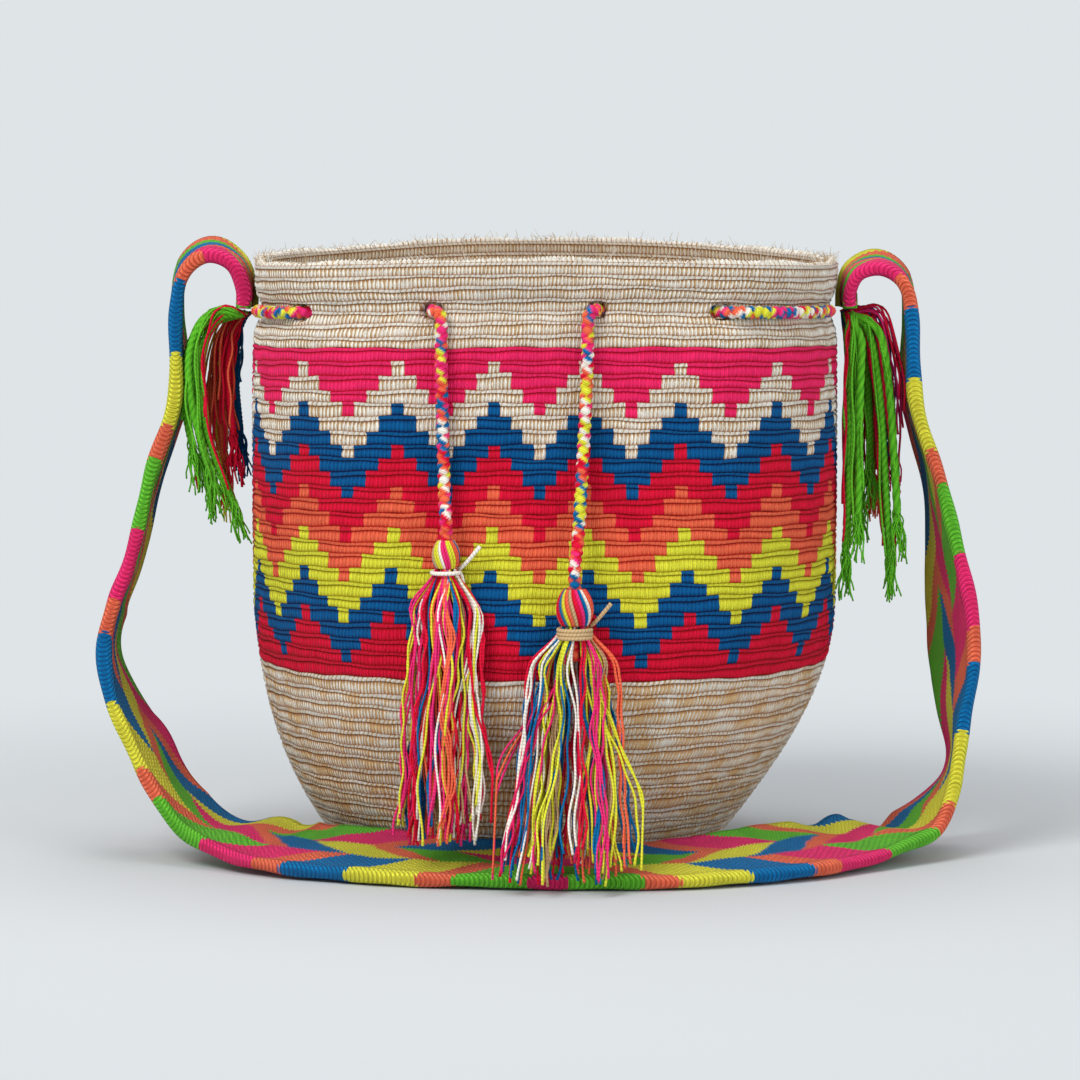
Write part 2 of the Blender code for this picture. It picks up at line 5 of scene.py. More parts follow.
import bpy
import numpy as np
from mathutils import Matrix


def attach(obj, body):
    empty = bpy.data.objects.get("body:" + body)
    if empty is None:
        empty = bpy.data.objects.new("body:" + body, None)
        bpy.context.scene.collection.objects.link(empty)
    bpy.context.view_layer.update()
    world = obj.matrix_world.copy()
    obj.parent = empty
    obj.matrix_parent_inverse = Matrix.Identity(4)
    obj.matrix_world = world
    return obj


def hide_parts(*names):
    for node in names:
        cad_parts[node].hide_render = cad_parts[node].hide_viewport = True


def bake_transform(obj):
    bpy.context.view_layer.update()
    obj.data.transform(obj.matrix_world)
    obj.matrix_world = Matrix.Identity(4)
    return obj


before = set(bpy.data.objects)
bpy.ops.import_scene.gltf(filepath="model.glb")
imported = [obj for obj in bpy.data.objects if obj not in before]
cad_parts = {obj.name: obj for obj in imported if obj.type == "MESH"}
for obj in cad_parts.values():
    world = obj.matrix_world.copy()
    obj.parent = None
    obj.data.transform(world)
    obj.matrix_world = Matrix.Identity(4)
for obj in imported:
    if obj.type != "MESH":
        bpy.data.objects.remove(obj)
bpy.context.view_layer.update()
scene = bpy.context.scene
scene.view_settings.view_transform = "Standard"

# Camera: a long lens a little above the rim, looking slightly down
cameraSet = {"place": (0.0068, -2.2, 0.32), "tiltDown": 4.46, "lens": 150.6}

cameraData = bpy.data.cameras.new("studioCamera")
cameraData.lens = cameraSet["lens"]
cameraData.sensor_width = 36.0
camera = bpy.data.objects.new("studioCamera", cameraData)
camera.location = cameraSet["place"]
camera.rotation_euler = (math.radians(90 - cameraSet["tiltDown"]), 0.0, 0.0)
scene.collection.objects.link(camera)
scene.camera = camera
print("camera placed")

yarnColours = {
    "pink": (0.88, 0.030, 0.20), "crimson": (0.78, 0.006, 0.042), "orange": (0.90, 0.15, 0.070),
    "yellow": (0.80, 0.80, 0.050), "blue": (0.001, 0.155, 0.40), "green": (0.14, 0.57, 0.028),
    "white": (0.92, 0.88, 0.79), "tan": (0.62, 0.43, 0.225),
}
darkTanAndGrooveShade = (0.58, 0.38, 0.185)   # tan painted as shade in the grooves between the natural yarns; also a darker fibre of the rim fuzz
lowTanPaintedLight = (1.26, 1.22, 1.18)   # how much lighter the tan is painted under the band: painted light for the lower wall, which turns down away from the lights


# Materials

class Signal:
    # a value of a shader that goes into a formula like a number
    def __init__(self, tree, socket):
        self.tree, self.socket = tree, socket

    def __add__(self, other):
        return calc(self.tree, "ADD", self, other)

    def __sub__(self, other):
        return calc(self.tree, "SUBTRACT", self, other)

    def __rsub__(self, other):
        return calc(self.tree, "SUBTRACT", other, self)

    def __mul__(self, other):
        return calc(self.tree, "MULTIPLY", self, other)

    def __truediv__(self, other):
        return calc(self.tree, "DIVIDE", self, other)

    def __mod__(self, other):
        return calc(self.tree, "FLOORED_MODULO", self, other)

    def __pow__(self, other):
        return calc(self.tree, "POWER", self, other)

    def __abs__(self):
        return calc(self.tree, "ABSOLUTE", self)


def addNode(tree, kind, **settings):
    node = tree.nodes.new("ShaderNode" + kind)
    for name, value in settings.items():
        setattr(node, name, value)
    return node


def feed(tree, value, socket):
    # a number or colour is written on the socket, and anything else is linked to it
    if isinstance(value, (int, float)):
        socket.default_value = value
    elif isinstance(value, (tuple, list)):
        socket.default_value = (*value, 1.0) if len(value) == 3 and socket.type == "RGBA" else value
    else:
        tree.links.new(getattr(value, "socket", value), socket)


def feedAll(tree, node, values):
    for socket, value in zip(node.inputs, values):
        feed(tree, value, socket)
    return Signal(tree, node.outputs[0])


def calc(tree, operation, *values):
    return feedAll(tree, addNode(tree, "Math", operation=operation), values)


def turned(value, turns, operation="SINE"):
    # sine or cosine, where a value of 1 is so many whole turns
    return calc(value.tree, operation, value * (2 * math.pi * turns))


def rescale(tree, value, low, high, start=0.0, end=1.0, smooth=False):
    kind = "SMOOTHSTEP" if smooth else "LINEAR"
    node = addNode(tree, "MapRange", clamp=True, interpolation_type=kind)
    return feedAll(tree, node, (value, low, high, start, end))


def joined(tree, x, y, z=0.0):
    return feedAll(tree, addNode(tree, "CombineXYZ"), (x, y, z))


def grain(tree, vector, scale, detail=2.0):
    node = addNode(tree, "TexNoise")
    for name, value in (("Vector", vector), ("Scale", scale), ("Detail", detail)):
        feed(tree, value, node.inputs[name])
    return Signal(tree, node.outputs["Fac"])


def blendColour(tree, share, first, second, mode="MIX"):
    node = addNode(tree, "Mix", data_type="RGBA", blend_type=mode)
    for name, value in (("Factor", share), ("A", first), ("B", second)):
        feed(tree, value, [s for s in node.inputs if s.name == name and s.enabled][0])
    return [s for s in node.outputs if s.enabled][0]


def colourSteps(tree, place, starts, colours):
    # fields of plain colour with hard ends: each colour begins at its own start
    ramp = addNode(tree, "ValToRGB")
    ramp.color_ramp.interpolation = "CONSTANT"
    for i, (start, colour) in enumerate(zip(starts, colours)):
        # a new ramp has two colours already
        element = ramp.color_ramp.elements[i] if i < 2 else ramp.color_ramp.elements.new(1.0)
        element.position = start
        element.color = (*colour, 1.0)
    feed(tree, place, ramp.inputs[0])
    return ramp.outputs[0]


def surfaceMap(tree):
    mapNode = addNode(tree, "UVMap", uv_map="stitchMap")
    split = addNode(tree, "SeparateXYZ")
    feed(tree, mapNode.outputs[0], split.inputs[0])
    return Signal(tree, split.outputs[0]), Signal(tree, split.outputs[1])


def newGroup(name, inputs, outputs):
    tree = bpy.data.node_groups.new(name, "ShaderNodeTree")
    for label, kind in inputs:
        tree.interface.new_socket(label, in_out="INPUT", socket_type="NodeSocket" + kind)
    for label, kind in outputs:
        tree.interface.new_socket(label, in_out="OUTPUT", socket_type="NodeSocket" + kind)
    return tree, tree.nodes.new("NodeGroupInput"), tree.nodes.new("NodeGroupOutput")


def makeFibreGroup():
    # Cotton yarn: plies wind round it as a sine of (around * plies + along * turns), which also paints shade
    # between the plies; fibres are fine noise, and a broad noise varies the dye. Where Rise is low the colour
    # is darkened and reddened: painted shade in creases.
    tree, start, end = newGroup(
        "cottonFibre",
        (("Colour", "Color"), ("Around", "Float"), ("Along", "Float"), ("Plies", "Float"),
         ("Turns", "Float"), ("Rise", "Float")),
        (("Colour", "Color"), ("Height", "Float")))
    colour, around, along, plies, turns, rise = (Signal(tree, start.outputs[k]) for k in range(6))
    ply = turned(around * plies + along * turns, 1.0) * 0.5 + 0.5
    place = addNode(tree, "TexCoord").outputs["Object"]
    fibre = grain(tree, place, 2600.0)
    dye = grain(tree, place, 70.0, 3.0)
    # the ply term of this tone is painted shade between the plies; fibre and dye are the yarn's own variation
    plyShadeAndTone = ply * 0.26 + fibre * 0.5 + dye * 0.36 + 0.31
    plyShadedAndToned = blendColour(tree, 1.0, colour, joined(tree, plyShadeAndTone, plyShadeAndTone, plyShadeAndTone), "MULTIPLY")
    # painted shade: a darker, redder copy of the colour, used where Rise is low
    creaseShadeColour = blendColour(tree, 1.0, colour, colour, "MULTIPLY")
    creaseShadeColour = blendColour(tree, 1.0, creaseShadeColour, (0.62, 0.50, 0.50), "MULTIPLY")
    feed(tree, blendColour(tree, rise, creaseShadeColour, plyShadedAndToned), end.inputs["Colour"])
    feed(tree, fibre * 0.35 + ply * 0.65, end.inputs["Height"])
    return tree


fibreGroup = makeFibreGroup()


def fibre(tree, *values):
    # colour, around, along, plies, turns and rise, as the group takes them
    node = addNode(tree, "Group", node_tree=fibreGroup)
    return feedAll(tree, node, values).socket, Signal(tree, node.outputs["Height"])


def newFinish(name, roughness=0.85, sheen=0.03):
    material = bpy.data.materials.new(name)
    material.use_nodes = True
    shader = material.node_tree.nodes["Principled BSDF"]
    shader.inputs["Roughness"].default_value = roughness
    shader.inputs["Specular IOR Level"].default_value = 0.10
    shader.inputs["Sheen Weight"].default_value = sheen
    shader.inputs["Sheen Roughness"].default_value = 0.5
    return material, material.node_tree, shader


def finishSurface(tree, shader, colour, height, depth):
    bump = addNode(tree, "Bump")
    for name, value in (("Strength", 0.8), ("Distance", depth), ("Height", height)):
        feed(tree, value, bump.inputs[name])
    feed(tree, bump.outputs[0], shader.inputs["Normal"])
    feed(tree, colour, shader.inputs["Base Color"])


def makeYarnFinish(name, depth, plies=1.0, turns=620.0):
    # cut and twisted yarn, in the colour that its piece carries, with painted shade where the piece's rise is
    # low
    material, tree, shader = newFinish(name)
    around, along = surfaceMap(tree)
    tint = addNode(tree, "Attribute", attribute_name="yarnColour").outputs["Color"]
    rise = addNode(tree, "Attribute", attribute_name="rise").outputs["Fac"]
    colour, height = fibre(tree, tint, around, along, plies, turns, rise)
    finishSurface(tree, shader, colour, height, depth)
    return material


# Rounds and zigzags of the body
crochetSet = {
    "stitches": 432, "footStitches": 324, "repeats": 18, "stitchesPerStep": 3, "roundsPerStripe": 3,
    "turned": -0.020,
    "lowRounds": 16, "bandRounds": 24, "rimRounds": 7, "chainStart": 0.72,
    "postRelief": 0.00085, "chainRelief": 0.00095, "postLean": 0.22,
    "stripes": ("pink", "tan", "blue", "crimson", "orange", "yellow", "blue", "crimson"),
}
stripeTints = {"pink": (0.96, 0.024, 0.150), "blue": (0.001, 0.105, 0.31)}


def makeCrochetFinish(name, insideShade=1.0):
    # u counts stitches and v counts rounds from the base. In each round the posts fill the
    # lower part and the chain line the upper one. A stripe is the whole part of
    # (rounds below the band's top - steps from the peak) / rounds in a stripe.
    material, tree, shader = newFinish(name)
    u, v = surfaceMap(tree)
    u = u + grain(tree, joined(tree, u * 0.9, v * 1.3), 1.0) * 0.7 - 0.35
    stitch = calc(tree, "FLOOR", u + 0.5)
    roundIn = calc(tree, "FLOOR", v)
    up = calc(tree, "FRACT", v)
    period = crochetSet["stitches"] / crochetSet["repeats"]
    step = crochetSet["stitchesPerStep"]
    level = calc(tree, "CEIL", (abs(u % period - period / 2) - step / 2) / step)
    level = calc(tree, "MAXIMUM", level, 0.0)
    below = crochetSet["lowRounds"] + crochetSet["bandRounds"] - 1.0 - roundIn
    stripe = calc(tree, "CEIL", (below - level) / crochetSet["roundsPerStripe"])
    halfBand = crochetSet["bandRounds"] / 2
    inBand = calc(tree, "LESS_THAN", abs(below - (halfBand - 0.5)), halfBand)
    names = crochetSet["stripes"]
    stripe = calc(tree, "MINIMUM", calc(tree, "MAXIMUM", stripe, 0.0), len(names) - 1.0)
    field = colourSteps(tree, (stripe + 0.5) / len(names), [i / len(names) for i in range(len(names))],
                        [stripeTints.get(name, yarnColours[name]) for name in names])
    natural = calc(tree, "MAXIMUM", 1.0 - inBand, calc(tree, "COMPARE", stripe, 1.0, 0.3))

    # natural rounds: a white yarn and a tan one share each stitch, with less white low down
    chainStart = crochetSet["chainStart"]
    chain = rescale(tree, up, chainStart - 0.02, chainStart + 0.02)
    chance = addNode(tree, "TexWhiteNoise", noise_dimensions="2D")
    feed(tree, joined(tree, stitch, roundIn), chance.inputs["Vector"])
    luck = Signal(tree, chance.outputs["Value"])
    fuzz = grain(tree, joined(tree, u * 3.1, v * 9.0), 1.0, 3.0)
    patch = grain(tree, joined(tree, u * 0.17, roundIn * 3.7), 1.0)
    high = rescale(tree, v, crochetSet["lowRounds"] - 1.0, crochetSet["lowRounds"] + 1.0)
    lightness = (patch - 0.5) * (high * -3.2 + 5.4) + high * 0.34 + 0.06
    bar = turned(u, 1.0, "COSINE")
    split = turned(u, 2.0, "COSINE") * calc(tree, "GREATER_THAN", luck, 0.55)
    # the white falls off towards the top of each post: partly the tan yarn, partly painted shade under the
    # chain line
    post = bar + split * 0.7 + luck * 0.9 + fuzz * 1.6 - rescale(tree, up, 0.40, 0.70) * 1.15 - 1.15
    postWhite = rescale(tree, post + lightness, -0.25, 0.45)
    strokeAt = u * 0.74 - up * 1.5
    strand = abs(turned(strokeAt, 0.5))
    dash = rescale(tree, strand * 1.5 + fuzz * 1.2 + lightness * 0.8, 1.00, 1.55)
    white = chain * (dash - postWhite) + postWhite
    # below the band the tan is painted lighter: painted light on the downward-facing lower wall
    tan = blendColour(tree, 1.0 - high, yarnColours["tan"], lowTanPaintedLight, "MULTIPLY")
    tint = blendColour(tree, natural, field, blendColour(tree, white, tan, yarnColours["white"]))

    # how far each place stands proud: the middle of a post or of the chain line; it sets the painted shade in
    # the grooves
    postUp = turned(rescale(tree, up, 0.0, chainStart), 0.5)
    chainUp = turned(rescale(tree, up, chainStart, 1.0), 0.5) * (strand * 0.45 + 0.55)
    barUp = calc(tree, "MAXIMUM", (bar + split * 0.5) * 0.13 + 0.85, chain)
    rise = rescale(tree, calc(tree, "MAXIMUM", postUp, chainUp) ** 0.55 * barUp, 0.22, 0.82)
    # painted shade: the grooves between posts and under the chain line are coloured darker, a bluish
    # darkening of the stripe colour or the groove tan, by how little each place stands proud
    grooveShade = blendColour(tree, 1.0, field, (0.62, 0.62, 0.80), "MULTIPLY")
    grooveShade = blendColour(tree, natural, grooveShade, darkTanAndGrooveShade)
    depth = natural * -0.16 + 0.46
    tint = blendColour(tree, rise * depth + (1.0 - depth), grooveShade, tint)
    colour, height = fibre(tree, tint, u, strokeAt * chain, 2.0, 2.0, rise)
    # a factor below 1 darkens and warms the whole finish: painted shade for the inside of the bag
    if insideShade < 1.0:
        colour = blendColour(tree, 1.0, colour, (insideShade, insideShade * 0.93, insideShade * 0.84), "MULTIPLY")
    height = height + (bar + split) * 0.28 + strand * chain * 0.9 + fuzz * 0.8
    finishSurface(tree, shader, colour, height, 0.00045)
    return material


print("finishes ready")


# Mesh making

def smoothStep(low, high, value):
    share = np.clip((value - low) / (high - low), 0.0, 1.0)
    return share * share * (3 - 2 * share)


def unit(vectors):
    return vectors / np.maximum(np.linalg.norm(vectors, axis=-1, keepdims=True), 1e-12)


made = {"triangles": 0}


def makePiece(name, places, material, body, slotName, replaced=(), across=None, along=None,
              colours=None, rise=None, around=True, capped=True, holes=None):
    # places is an array (strands, rows, columns, 3). Neighbours in the grid become faces,
    # columns close round a strand, and a cap shuts each of its ends.
    places = np.asarray(places, float)
    places = places[None] if places.ndim == 3 else places
    count, rows, cols = places.shape[:3]
    spans = cols if around else cols - 1
    row, col = np.meshgrid(np.arange(rows - 1), np.arange(spans), indexing="ij")
    ahead = (col + 1) % cols
    quads = row[..., None] * cols + np.stack([col, ahead, cols + ahead, cols + col], -1)
    across = np.arange(cols + 1) / cols if across is None else np.asarray(across, float)
    along = np.broadcast_to(np.arange(rows) if along is None else along, (count, rows))
    uvs = np.empty((count, rows - 1, spans, 4, 2))
    uvs[..., 0] = np.stack([across[col], across[col + 1], across[col + 1], across[col]], -1)[None]
    for corner, shift in enumerate((0, 0, 1, 1)):
        uvs[:, :, :, corner, 1] = along[:, shift:rows - 1 + shift, None]
    keep = np.ones((rows - 1, spans), bool) if holes is None else ~holes
    start = (np.arange(count) * rows * cols)[:, None, None]
    faces = (quads[keep][None] + start).reshape(-1, 4)
    uvs = uvs[:, keep].reshape(-1, 2)
    vertices = places.reshape(-1, 3)
    polygons = faces.tolist()
    if capped:
        ring = np.arange(cols)
        caps = np.concatenate([ring[::-1][None] + start[:, 0], (rows - 1) * cols + ring[None] + start[:, 0]])
        polygons += caps.tolist()
        uvs = np.concatenate([uvs, np.zeros((caps.size, 2))])
    picked = slice(None)
    if holes is not None:
        picked, flat = np.unique(faces, return_inverse=True)
        vertices = vertices[picked]
        polygons = flat.reshape(-1, 4).tolist()
    mesh = bpy.data.meshes.new(name)
    mesh.from_pydata(vertices, [], polygons)
    mesh.polygons.foreach_set("use_smooth", np.ones(len(mesh.polygons), bool))
    layer = mesh.uv_layers.new(name="stitchMap")
    layer.data.foreach_set("uv", uvs.astype(np.float32).ravel())
    # rise: how far each point stands proud, 0 to 1; the yarn finishes paint shade where it is low
    lift = np.ones((count, rows, cols)) if rise is None else np.broadcast_to(rise, (count, rows, cols))
    height = mesh.attributes.new("rise", "FLOAT", "POINT")
    height.data.foreach_set("value", lift.reshape(-1)[picked].astype(np.float32))
    if colours is not None:
        tints = np.ones((count, rows, cols, 4))
        tints[..., :3] = colours
        layer = mesh.color_attributes.new("yarnColour", "FLOAT_COLOR", "POINT")
        layer.data.foreach_set("color", tints.reshape(-1, 4)[picked].astype(np.float32).ravel())
    mesh.materials.append(material)
    piece = bpy.data.objects.new(name, mesh)
    scene.collection.objects.link(piece)
    if replaced:
        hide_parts(*replaced)
    made["triangles"] += sum(len(p) - 2 for p in polygons)
    if body:
        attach(piece, body)
    return piece


def curveThrough(points, steps):
    # Catmull-Rom: between two points, cubic weights of those two and the next outside ones
    given = np.asarray(points, float)
    padded = np.vstack([2 * given[0] - given[1], given, 2 * given[-1] - given[-2]])
    p0, p1, p2, p3 = (padded[k:len(padded) - 3 + k, None] for k in range(4))
    t = np.linspace(0, 1, steps, endpoint=False)[None, :, None]
    dense = 0.5 * (2 * p1 + (p2 - p0) * t + (2 * p0 - 5 * p1 + 4 * p2 - p3) * t ** 2
                   + (3 * p1 - p0 - 3 * p2 + p3) * t ** 3)
    return np.vstack([dense.reshape(-1, given.shape[1]), given[-1:]])


def runLength(points):
    return np.concatenate([[0.0], np.cumsum(np.linalg.norm(np.diff(points[..., :3], axis=0), axis=1))])


def evenly(points, count):
    along = runLength(points)
    at = np.linspace(0, along[-1], count)
    return np.stack([np.interp(at, along, points[:, k]) for k in range(points.shape[1])], -1)


def tubePlaces(paths, radii, sides, reference):
    # a ring of points round each place of each path: path + radius * (first * cos + second * sin),
    # where first and second stand square to the path. Radii may be one for all.
    tangent = unit(np.gradient(paths, axis=-2))
    first = np.broadcast_to(np.asarray(reference, float), tangent.shape)
    first = unit(first - tangent * (first * tangent).sum(-1, keepdims=True))
    second = np.cross(tangent, first)
    turn = 2 * np.pi * np.arange(sides) / sides
    out = first[..., None, :] * np.cos(turn)[:, None] + second[..., None, :] * np.sin(turn)[:, None]
    return paths[..., None, :] + out * np.asarray(radii)[..., None]


# The bag's wall
wallSet = {
    "bellyRadius": 0.141, "footRadius": 0.090, "bellyHeight": 0.125, "height": 0.286, "baseRound": 0.012,
    "thickness": 0.0042, "mouthFlatness": 0.84, "mouthSquareness": 2.8, "squaring": (0.07, 0.20),
    "lean": 0.009, "leanHeight": 0.11, "sideSag": 0.006, "backRise": 0.007, "neckDepth": 0.004,
    "neckReach": 0.008, "neckRadius": 0.13113, "gatherDepth": 0.002, "gathers": 7,
    "rimDepth": 0.039, "bandDepth": 0.154, "cordDrop": 0.022, "eyeletWidth": 0.0082, "eyeletHeight": 0.0060,
    "leftEyelets": (-25.0, -53.0, -73.0, -115.0, -148.0), "rightEyelets": (12.0, 38.0, 73.0, 115.0, 148.0),
}


def wallProfile():
    # a round of baseRound, then r(z) = belly - (belly - foot) * (1 - z / bellyHeight) squared
    spread = wallSet["bellyRadius"] - wallSet["footRadius"]
    turn = math.pi / 2 - math.atan(2 * spread / wallSet["bellyHeight"])
    start = wallSet["footRadius"] - wallSet["baseRound"] * math.tan(turn / 2)
    angles = np.linspace(0, turn, 12)
    radius = start + wallSet["baseRound"] * np.sin(angles)
    height = wallSet["baseRound"] * (1 - np.cos(angles))
    upper = np.linspace(height[-1], wallSet["height"], 240)[1:]
    radius = np.concatenate([radius, wallSet["bellyRadius"]
                             - spread * np.maximum(0.0, 1 - upper / wallSet["bellyHeight"]) ** 2])
    height = np.concatenate([height, upper])
    return np.concatenate([[0.0], np.cumsum(np.hypot(np.diff(radius), np.diff(height)))]), radius, height


profileLength, profileRadius, profileHeight = wallProfile()
wallLength = profileLength[-1]
cordShare = 1 - wallSet["cordDrop"] / wallLength


def wallMiddle(angle, share):
    # a superellipse whose flatness and squareness grow with the height, pinched at the neck
    angle, share = np.broadcast_arrays(np.asarray(angle, float), np.asarray(share, float))
    length = share * wallLength
    radius = np.interp(length, profileLength, profileRadius)
    height = np.interp(length, profileLength, profileHeight)
    square = smoothStep(*wallSet["squaring"], height)
    flat = 1 - (1 - wallSet["mouthFlatness"]) * square
    power = 2 + (wallSet["mouthSquareness"] - 2) * square
    across = (np.abs(np.sin(angle)) ** power + (np.abs(np.cos(angle)) / flat) ** power) ** (-1 / power)
    below = (share - cordShare) * wallLength
    radius = radius - wallSet["neckDepth"] * np.exp(-((below / wallSet["neckReach"]) ** 2))
    gather = np.maximum(share, 0.0) ** 8 * np.cos(wallSet["gathers"] * angle + 0.6)
    radius = radius + wallSet["gatherDepth"] * gather
    shift = wallSet["lean"] * smoothStep(0.0, wallSet["leanHeight"], height)
    height = height + share ** 2 * (wallSet["backRise"] * (1 - np.cos(angle)) / 2
                                    - wallSet["sideSag"] * np.sin(angle) ** 2)
    return np.stack([shift + radius * across * np.sin(angle), -radius * across * np.cos(angle), height], -1)


def wallNormal(angle, share):
    step = 1e-3
    high, low = np.minimum(share + step, 1.0), np.maximum(share - step, 0.0)
    up = wallMiddle(angle, high) - wallMiddle(angle, low)
    onward = wallMiddle(angle + step, share) - wallMiddle(angle - step, share)
    return unit(np.cross(onward, up))


def wallPlace(angle, share, out=0.0):
    angle, share, out = np.broadcast_arrays(np.asarray(angle, float), np.asarray(share, float), out)
    return wallMiddle(angle, share) + wallNormal(angle, share) * out[..., None]


def roundShares():
    heights = (wallSet["height"] - wallSet["rimDepth"] - wallSet["bandDepth"],
               wallSet["height"] - wallSet["rimDepth"], wallSet["height"])
    ends = np.interp(heights, profileHeight, profileLength) / wallLength
    counts = (crochetSet["lowRounds"], crochetSet["bandRounds"], crochetSet["rimRounds"])
    shares = [np.array([0.0])]
    for start, end, count in zip((0.0, *ends), ends, counts):
        shares.append(start + (end - start) * np.arange(1, count + 1) / count)
    return np.concatenate(shares)


shareOfRound = roundShares()
roundCount = len(shareOfRound) - 1


def shareAtRound(rounds):
    return np.interp(rounds, np.arange(roundCount + 1), shareOfRound)


def halve(isUnder, low, high, times):
    # closes in on the place where isUnder turns from true to false
    for _ in range(times):
        middle = (low + high) / 2
        under = isUnder(middle)
        low, high = np.where(under, middle, low), np.where(under, high, middle)
    return low, high


def shareAt(angle, height):
    ends = np.zeros(np.shape(angle)), np.ones(np.shape(angle))
    return sum(halve(lambda share: wallMiddle(angle, share)[..., 2] < height, *ends, 40)) / 2


def eyeletDistance(angle, share):
    # 1 on the edge of the nearest eyelet's ellipse, less inside it
    nearest = np.full(np.broadcast(angle, share).shape, 9.0)
    for degrees in wallSet["leftEyelets"] + wallSet["rightEyelets"]:
        gap = (angle - math.radians(degrees) + np.pi) % (2 * np.pi) - np.pi
        x = gap * wallSet["neckRadius"] / (wallSet["eyeletWidth"] / 2)
        y = (share - cordShare) * wallLength / (wallSet["eyeletHeight"] / 2)
        nearest = np.minimum(nearest, np.hypot(x, y))
    return nearest


def openFaces(distance, extraRows):
    # the faces whose corners lie inside an eyelet on average, and none in the rows that follow
    between = (distance[1:] + distance[:-1]) / 2
    opened = (between + np.roll(between, -1, axis=1)) / 2 < 1.0
    return np.concatenate([opened, np.zeros((extraRows, distance.shape[1]), bool)])


def makeBodyPiece(name, places, material, **settings):
    return makePiece(name, places, material, "bag", "body_yarn", ("bag_body",), capped=False, **settings)


# the heights in a round at which the mesh has points, and each stitch's own luck
roundSamples = np.array([0.0, 0.16, 0.38, 0.58, 0.72, 0.86])
luckOfStitches = np.random.default_rng(7).random((64, 1024))


def stitchRelief(stitch, rounds):
    # posts: a sine over the lower part of the round, times a cosine across each stitch;
    # chain line: a sine over the upper part, with a slow slanted ripple
    split = crochetSet["chainStart"]
    up = rounds % 1.0
    which = luckOfStitches[rounds.astype(int) % 64, np.round(stitch).astype(int) % 1024]
    post = np.sin(np.pi * np.clip(up / split, 0, 1)) ** 0.6 * (0.62 + 0.38 * np.cos(2 * np.pi * stitch))
    chain = np.sin(np.pi * np.clip((up - split) / (1 - split), 0, 1)) ** 0.7
    chain = chain * (0.85 + 0.15 * np.cos(np.pi * stitch))
    return (crochetSet["postRelief"] * post * (0.8 + 0.4 * which)
            + crochetSet["chainRelief"] * chain * (0.85 + 0.3 * which))


def makeWallPiece(name, firstRound, lastRound, stitches):
    # two columns of points to a stitch and six rows to a round. The last piece goes over the rim.
    rounds = (np.arange(firstRound, lastRound)[:, None] + roundSamples[None]).ravel()
    rounds = np.append(rounds, lastRound - 1e-6)[:, None]
    stitch = (np.arange(2 * stitches) / 2)[None]
    angle = stitch * 2 * np.pi / stitches + crochetSet["turned"]
    up = rounds % 1.0
    lean = crochetSet["postLean"] * (up - 0.36) * (up < crochetSet["chainStart"]) * 2 * np.pi / stitches
    wander = (0.07 * np.sin(3 * angle + rounds * 1.7) + 0.06 * np.sin(11 * angle + rounds * 2.9)
              + 0.035 * np.sin(37 * angle + rounds.astype(int) * 5.3))
    share = shareAtRound(rounds + wander * (rounds > 1) * (rounds < roundCount - 1))
    relief = stitchRelief(stitch + 0 * rounds, rounds + 0 * stitch) * smoothStep(0.0, 1.5, rounds)
    hole = eyeletDistance(angle, share)
    out = relief * smoothStep(1.0, 1.5, hole) - wallSet["thickness"] * (1 - smoothStep(1.0, 1.5, hole))
    places = wallPlace(angle + lean, share, out)
    along = rounds[:, 0]
    edgeRows = 6 if lastRound == roundCount else 0
    if edgeRows:
        # over the top edge: half a turn from the outer face to the inner one
        turn = np.linspace(0.15, 1.0, edgeRows)[:, None] * np.pi
        inward = wallSet["thickness"] / 2 * (1 - np.cos(turn))
        edge = wallPlace(angle, 1.0, -inward)
        uneven = 1 + 0.30 * (np.cos(2 * np.pi * stitch) + np.sin(9 * angle + 1)) + 0.22 * np.sin(23 * angle)
        edge[..., 2] += wallSet["thickness"] * 0.40 * np.sin(turn) * uneven
        places = np.concatenate([places, edge])
        along = np.concatenate([along, lastRound - 1 + roundSamples[-1] + 0.02 * np.arange(edgeRows)])
    places[..., 2] = np.maximum(places[..., 2], 0.0)
    return makeBodyPiece(name, places, crochetFinish, across=np.append(stitch[0], stitches), along=along,
                         holes=openFaces(hole, edgeRows))


crochetFinish = makeCrochetFinish("crochetYarns")
bandStart, bandTop = crochetSet["lowRounds"], crochetSet["lowRounds"] + crochetSet["bandRounds"]
wallEnds = (0, 8, bandStart, bandStart + 12, bandTop, roundCount)
for name, start, end in zip(("footRounds", "lowerRounds", "zigzagLower", "zigzagUpper", "rimRounds"),
                            wallEnds, wallEnds[1:]):
    makeWallPiece(name, start, end, crochetSet["stitches"] if start else crochetSet["footStitches"])
print("outer wall done, triangles so far", made["triangles"])

# The inside and the base
liningSet = {"columns": 288, "relief": 0.0006, "rowsPerRound": 3, "floorRings": 9, "floorRelief": 0.0004,
             "insideShade": 0.80}
baseSet = {"columns": 216, "rings": 37, "grooveDepth": 0.0007}
# the inside is a darker, warmer copy of the crochet finish: painted shade inside the bag
liningFinish = makeCrochetFinish("insideYarnsPaintedShade", liningSet["insideShade"])


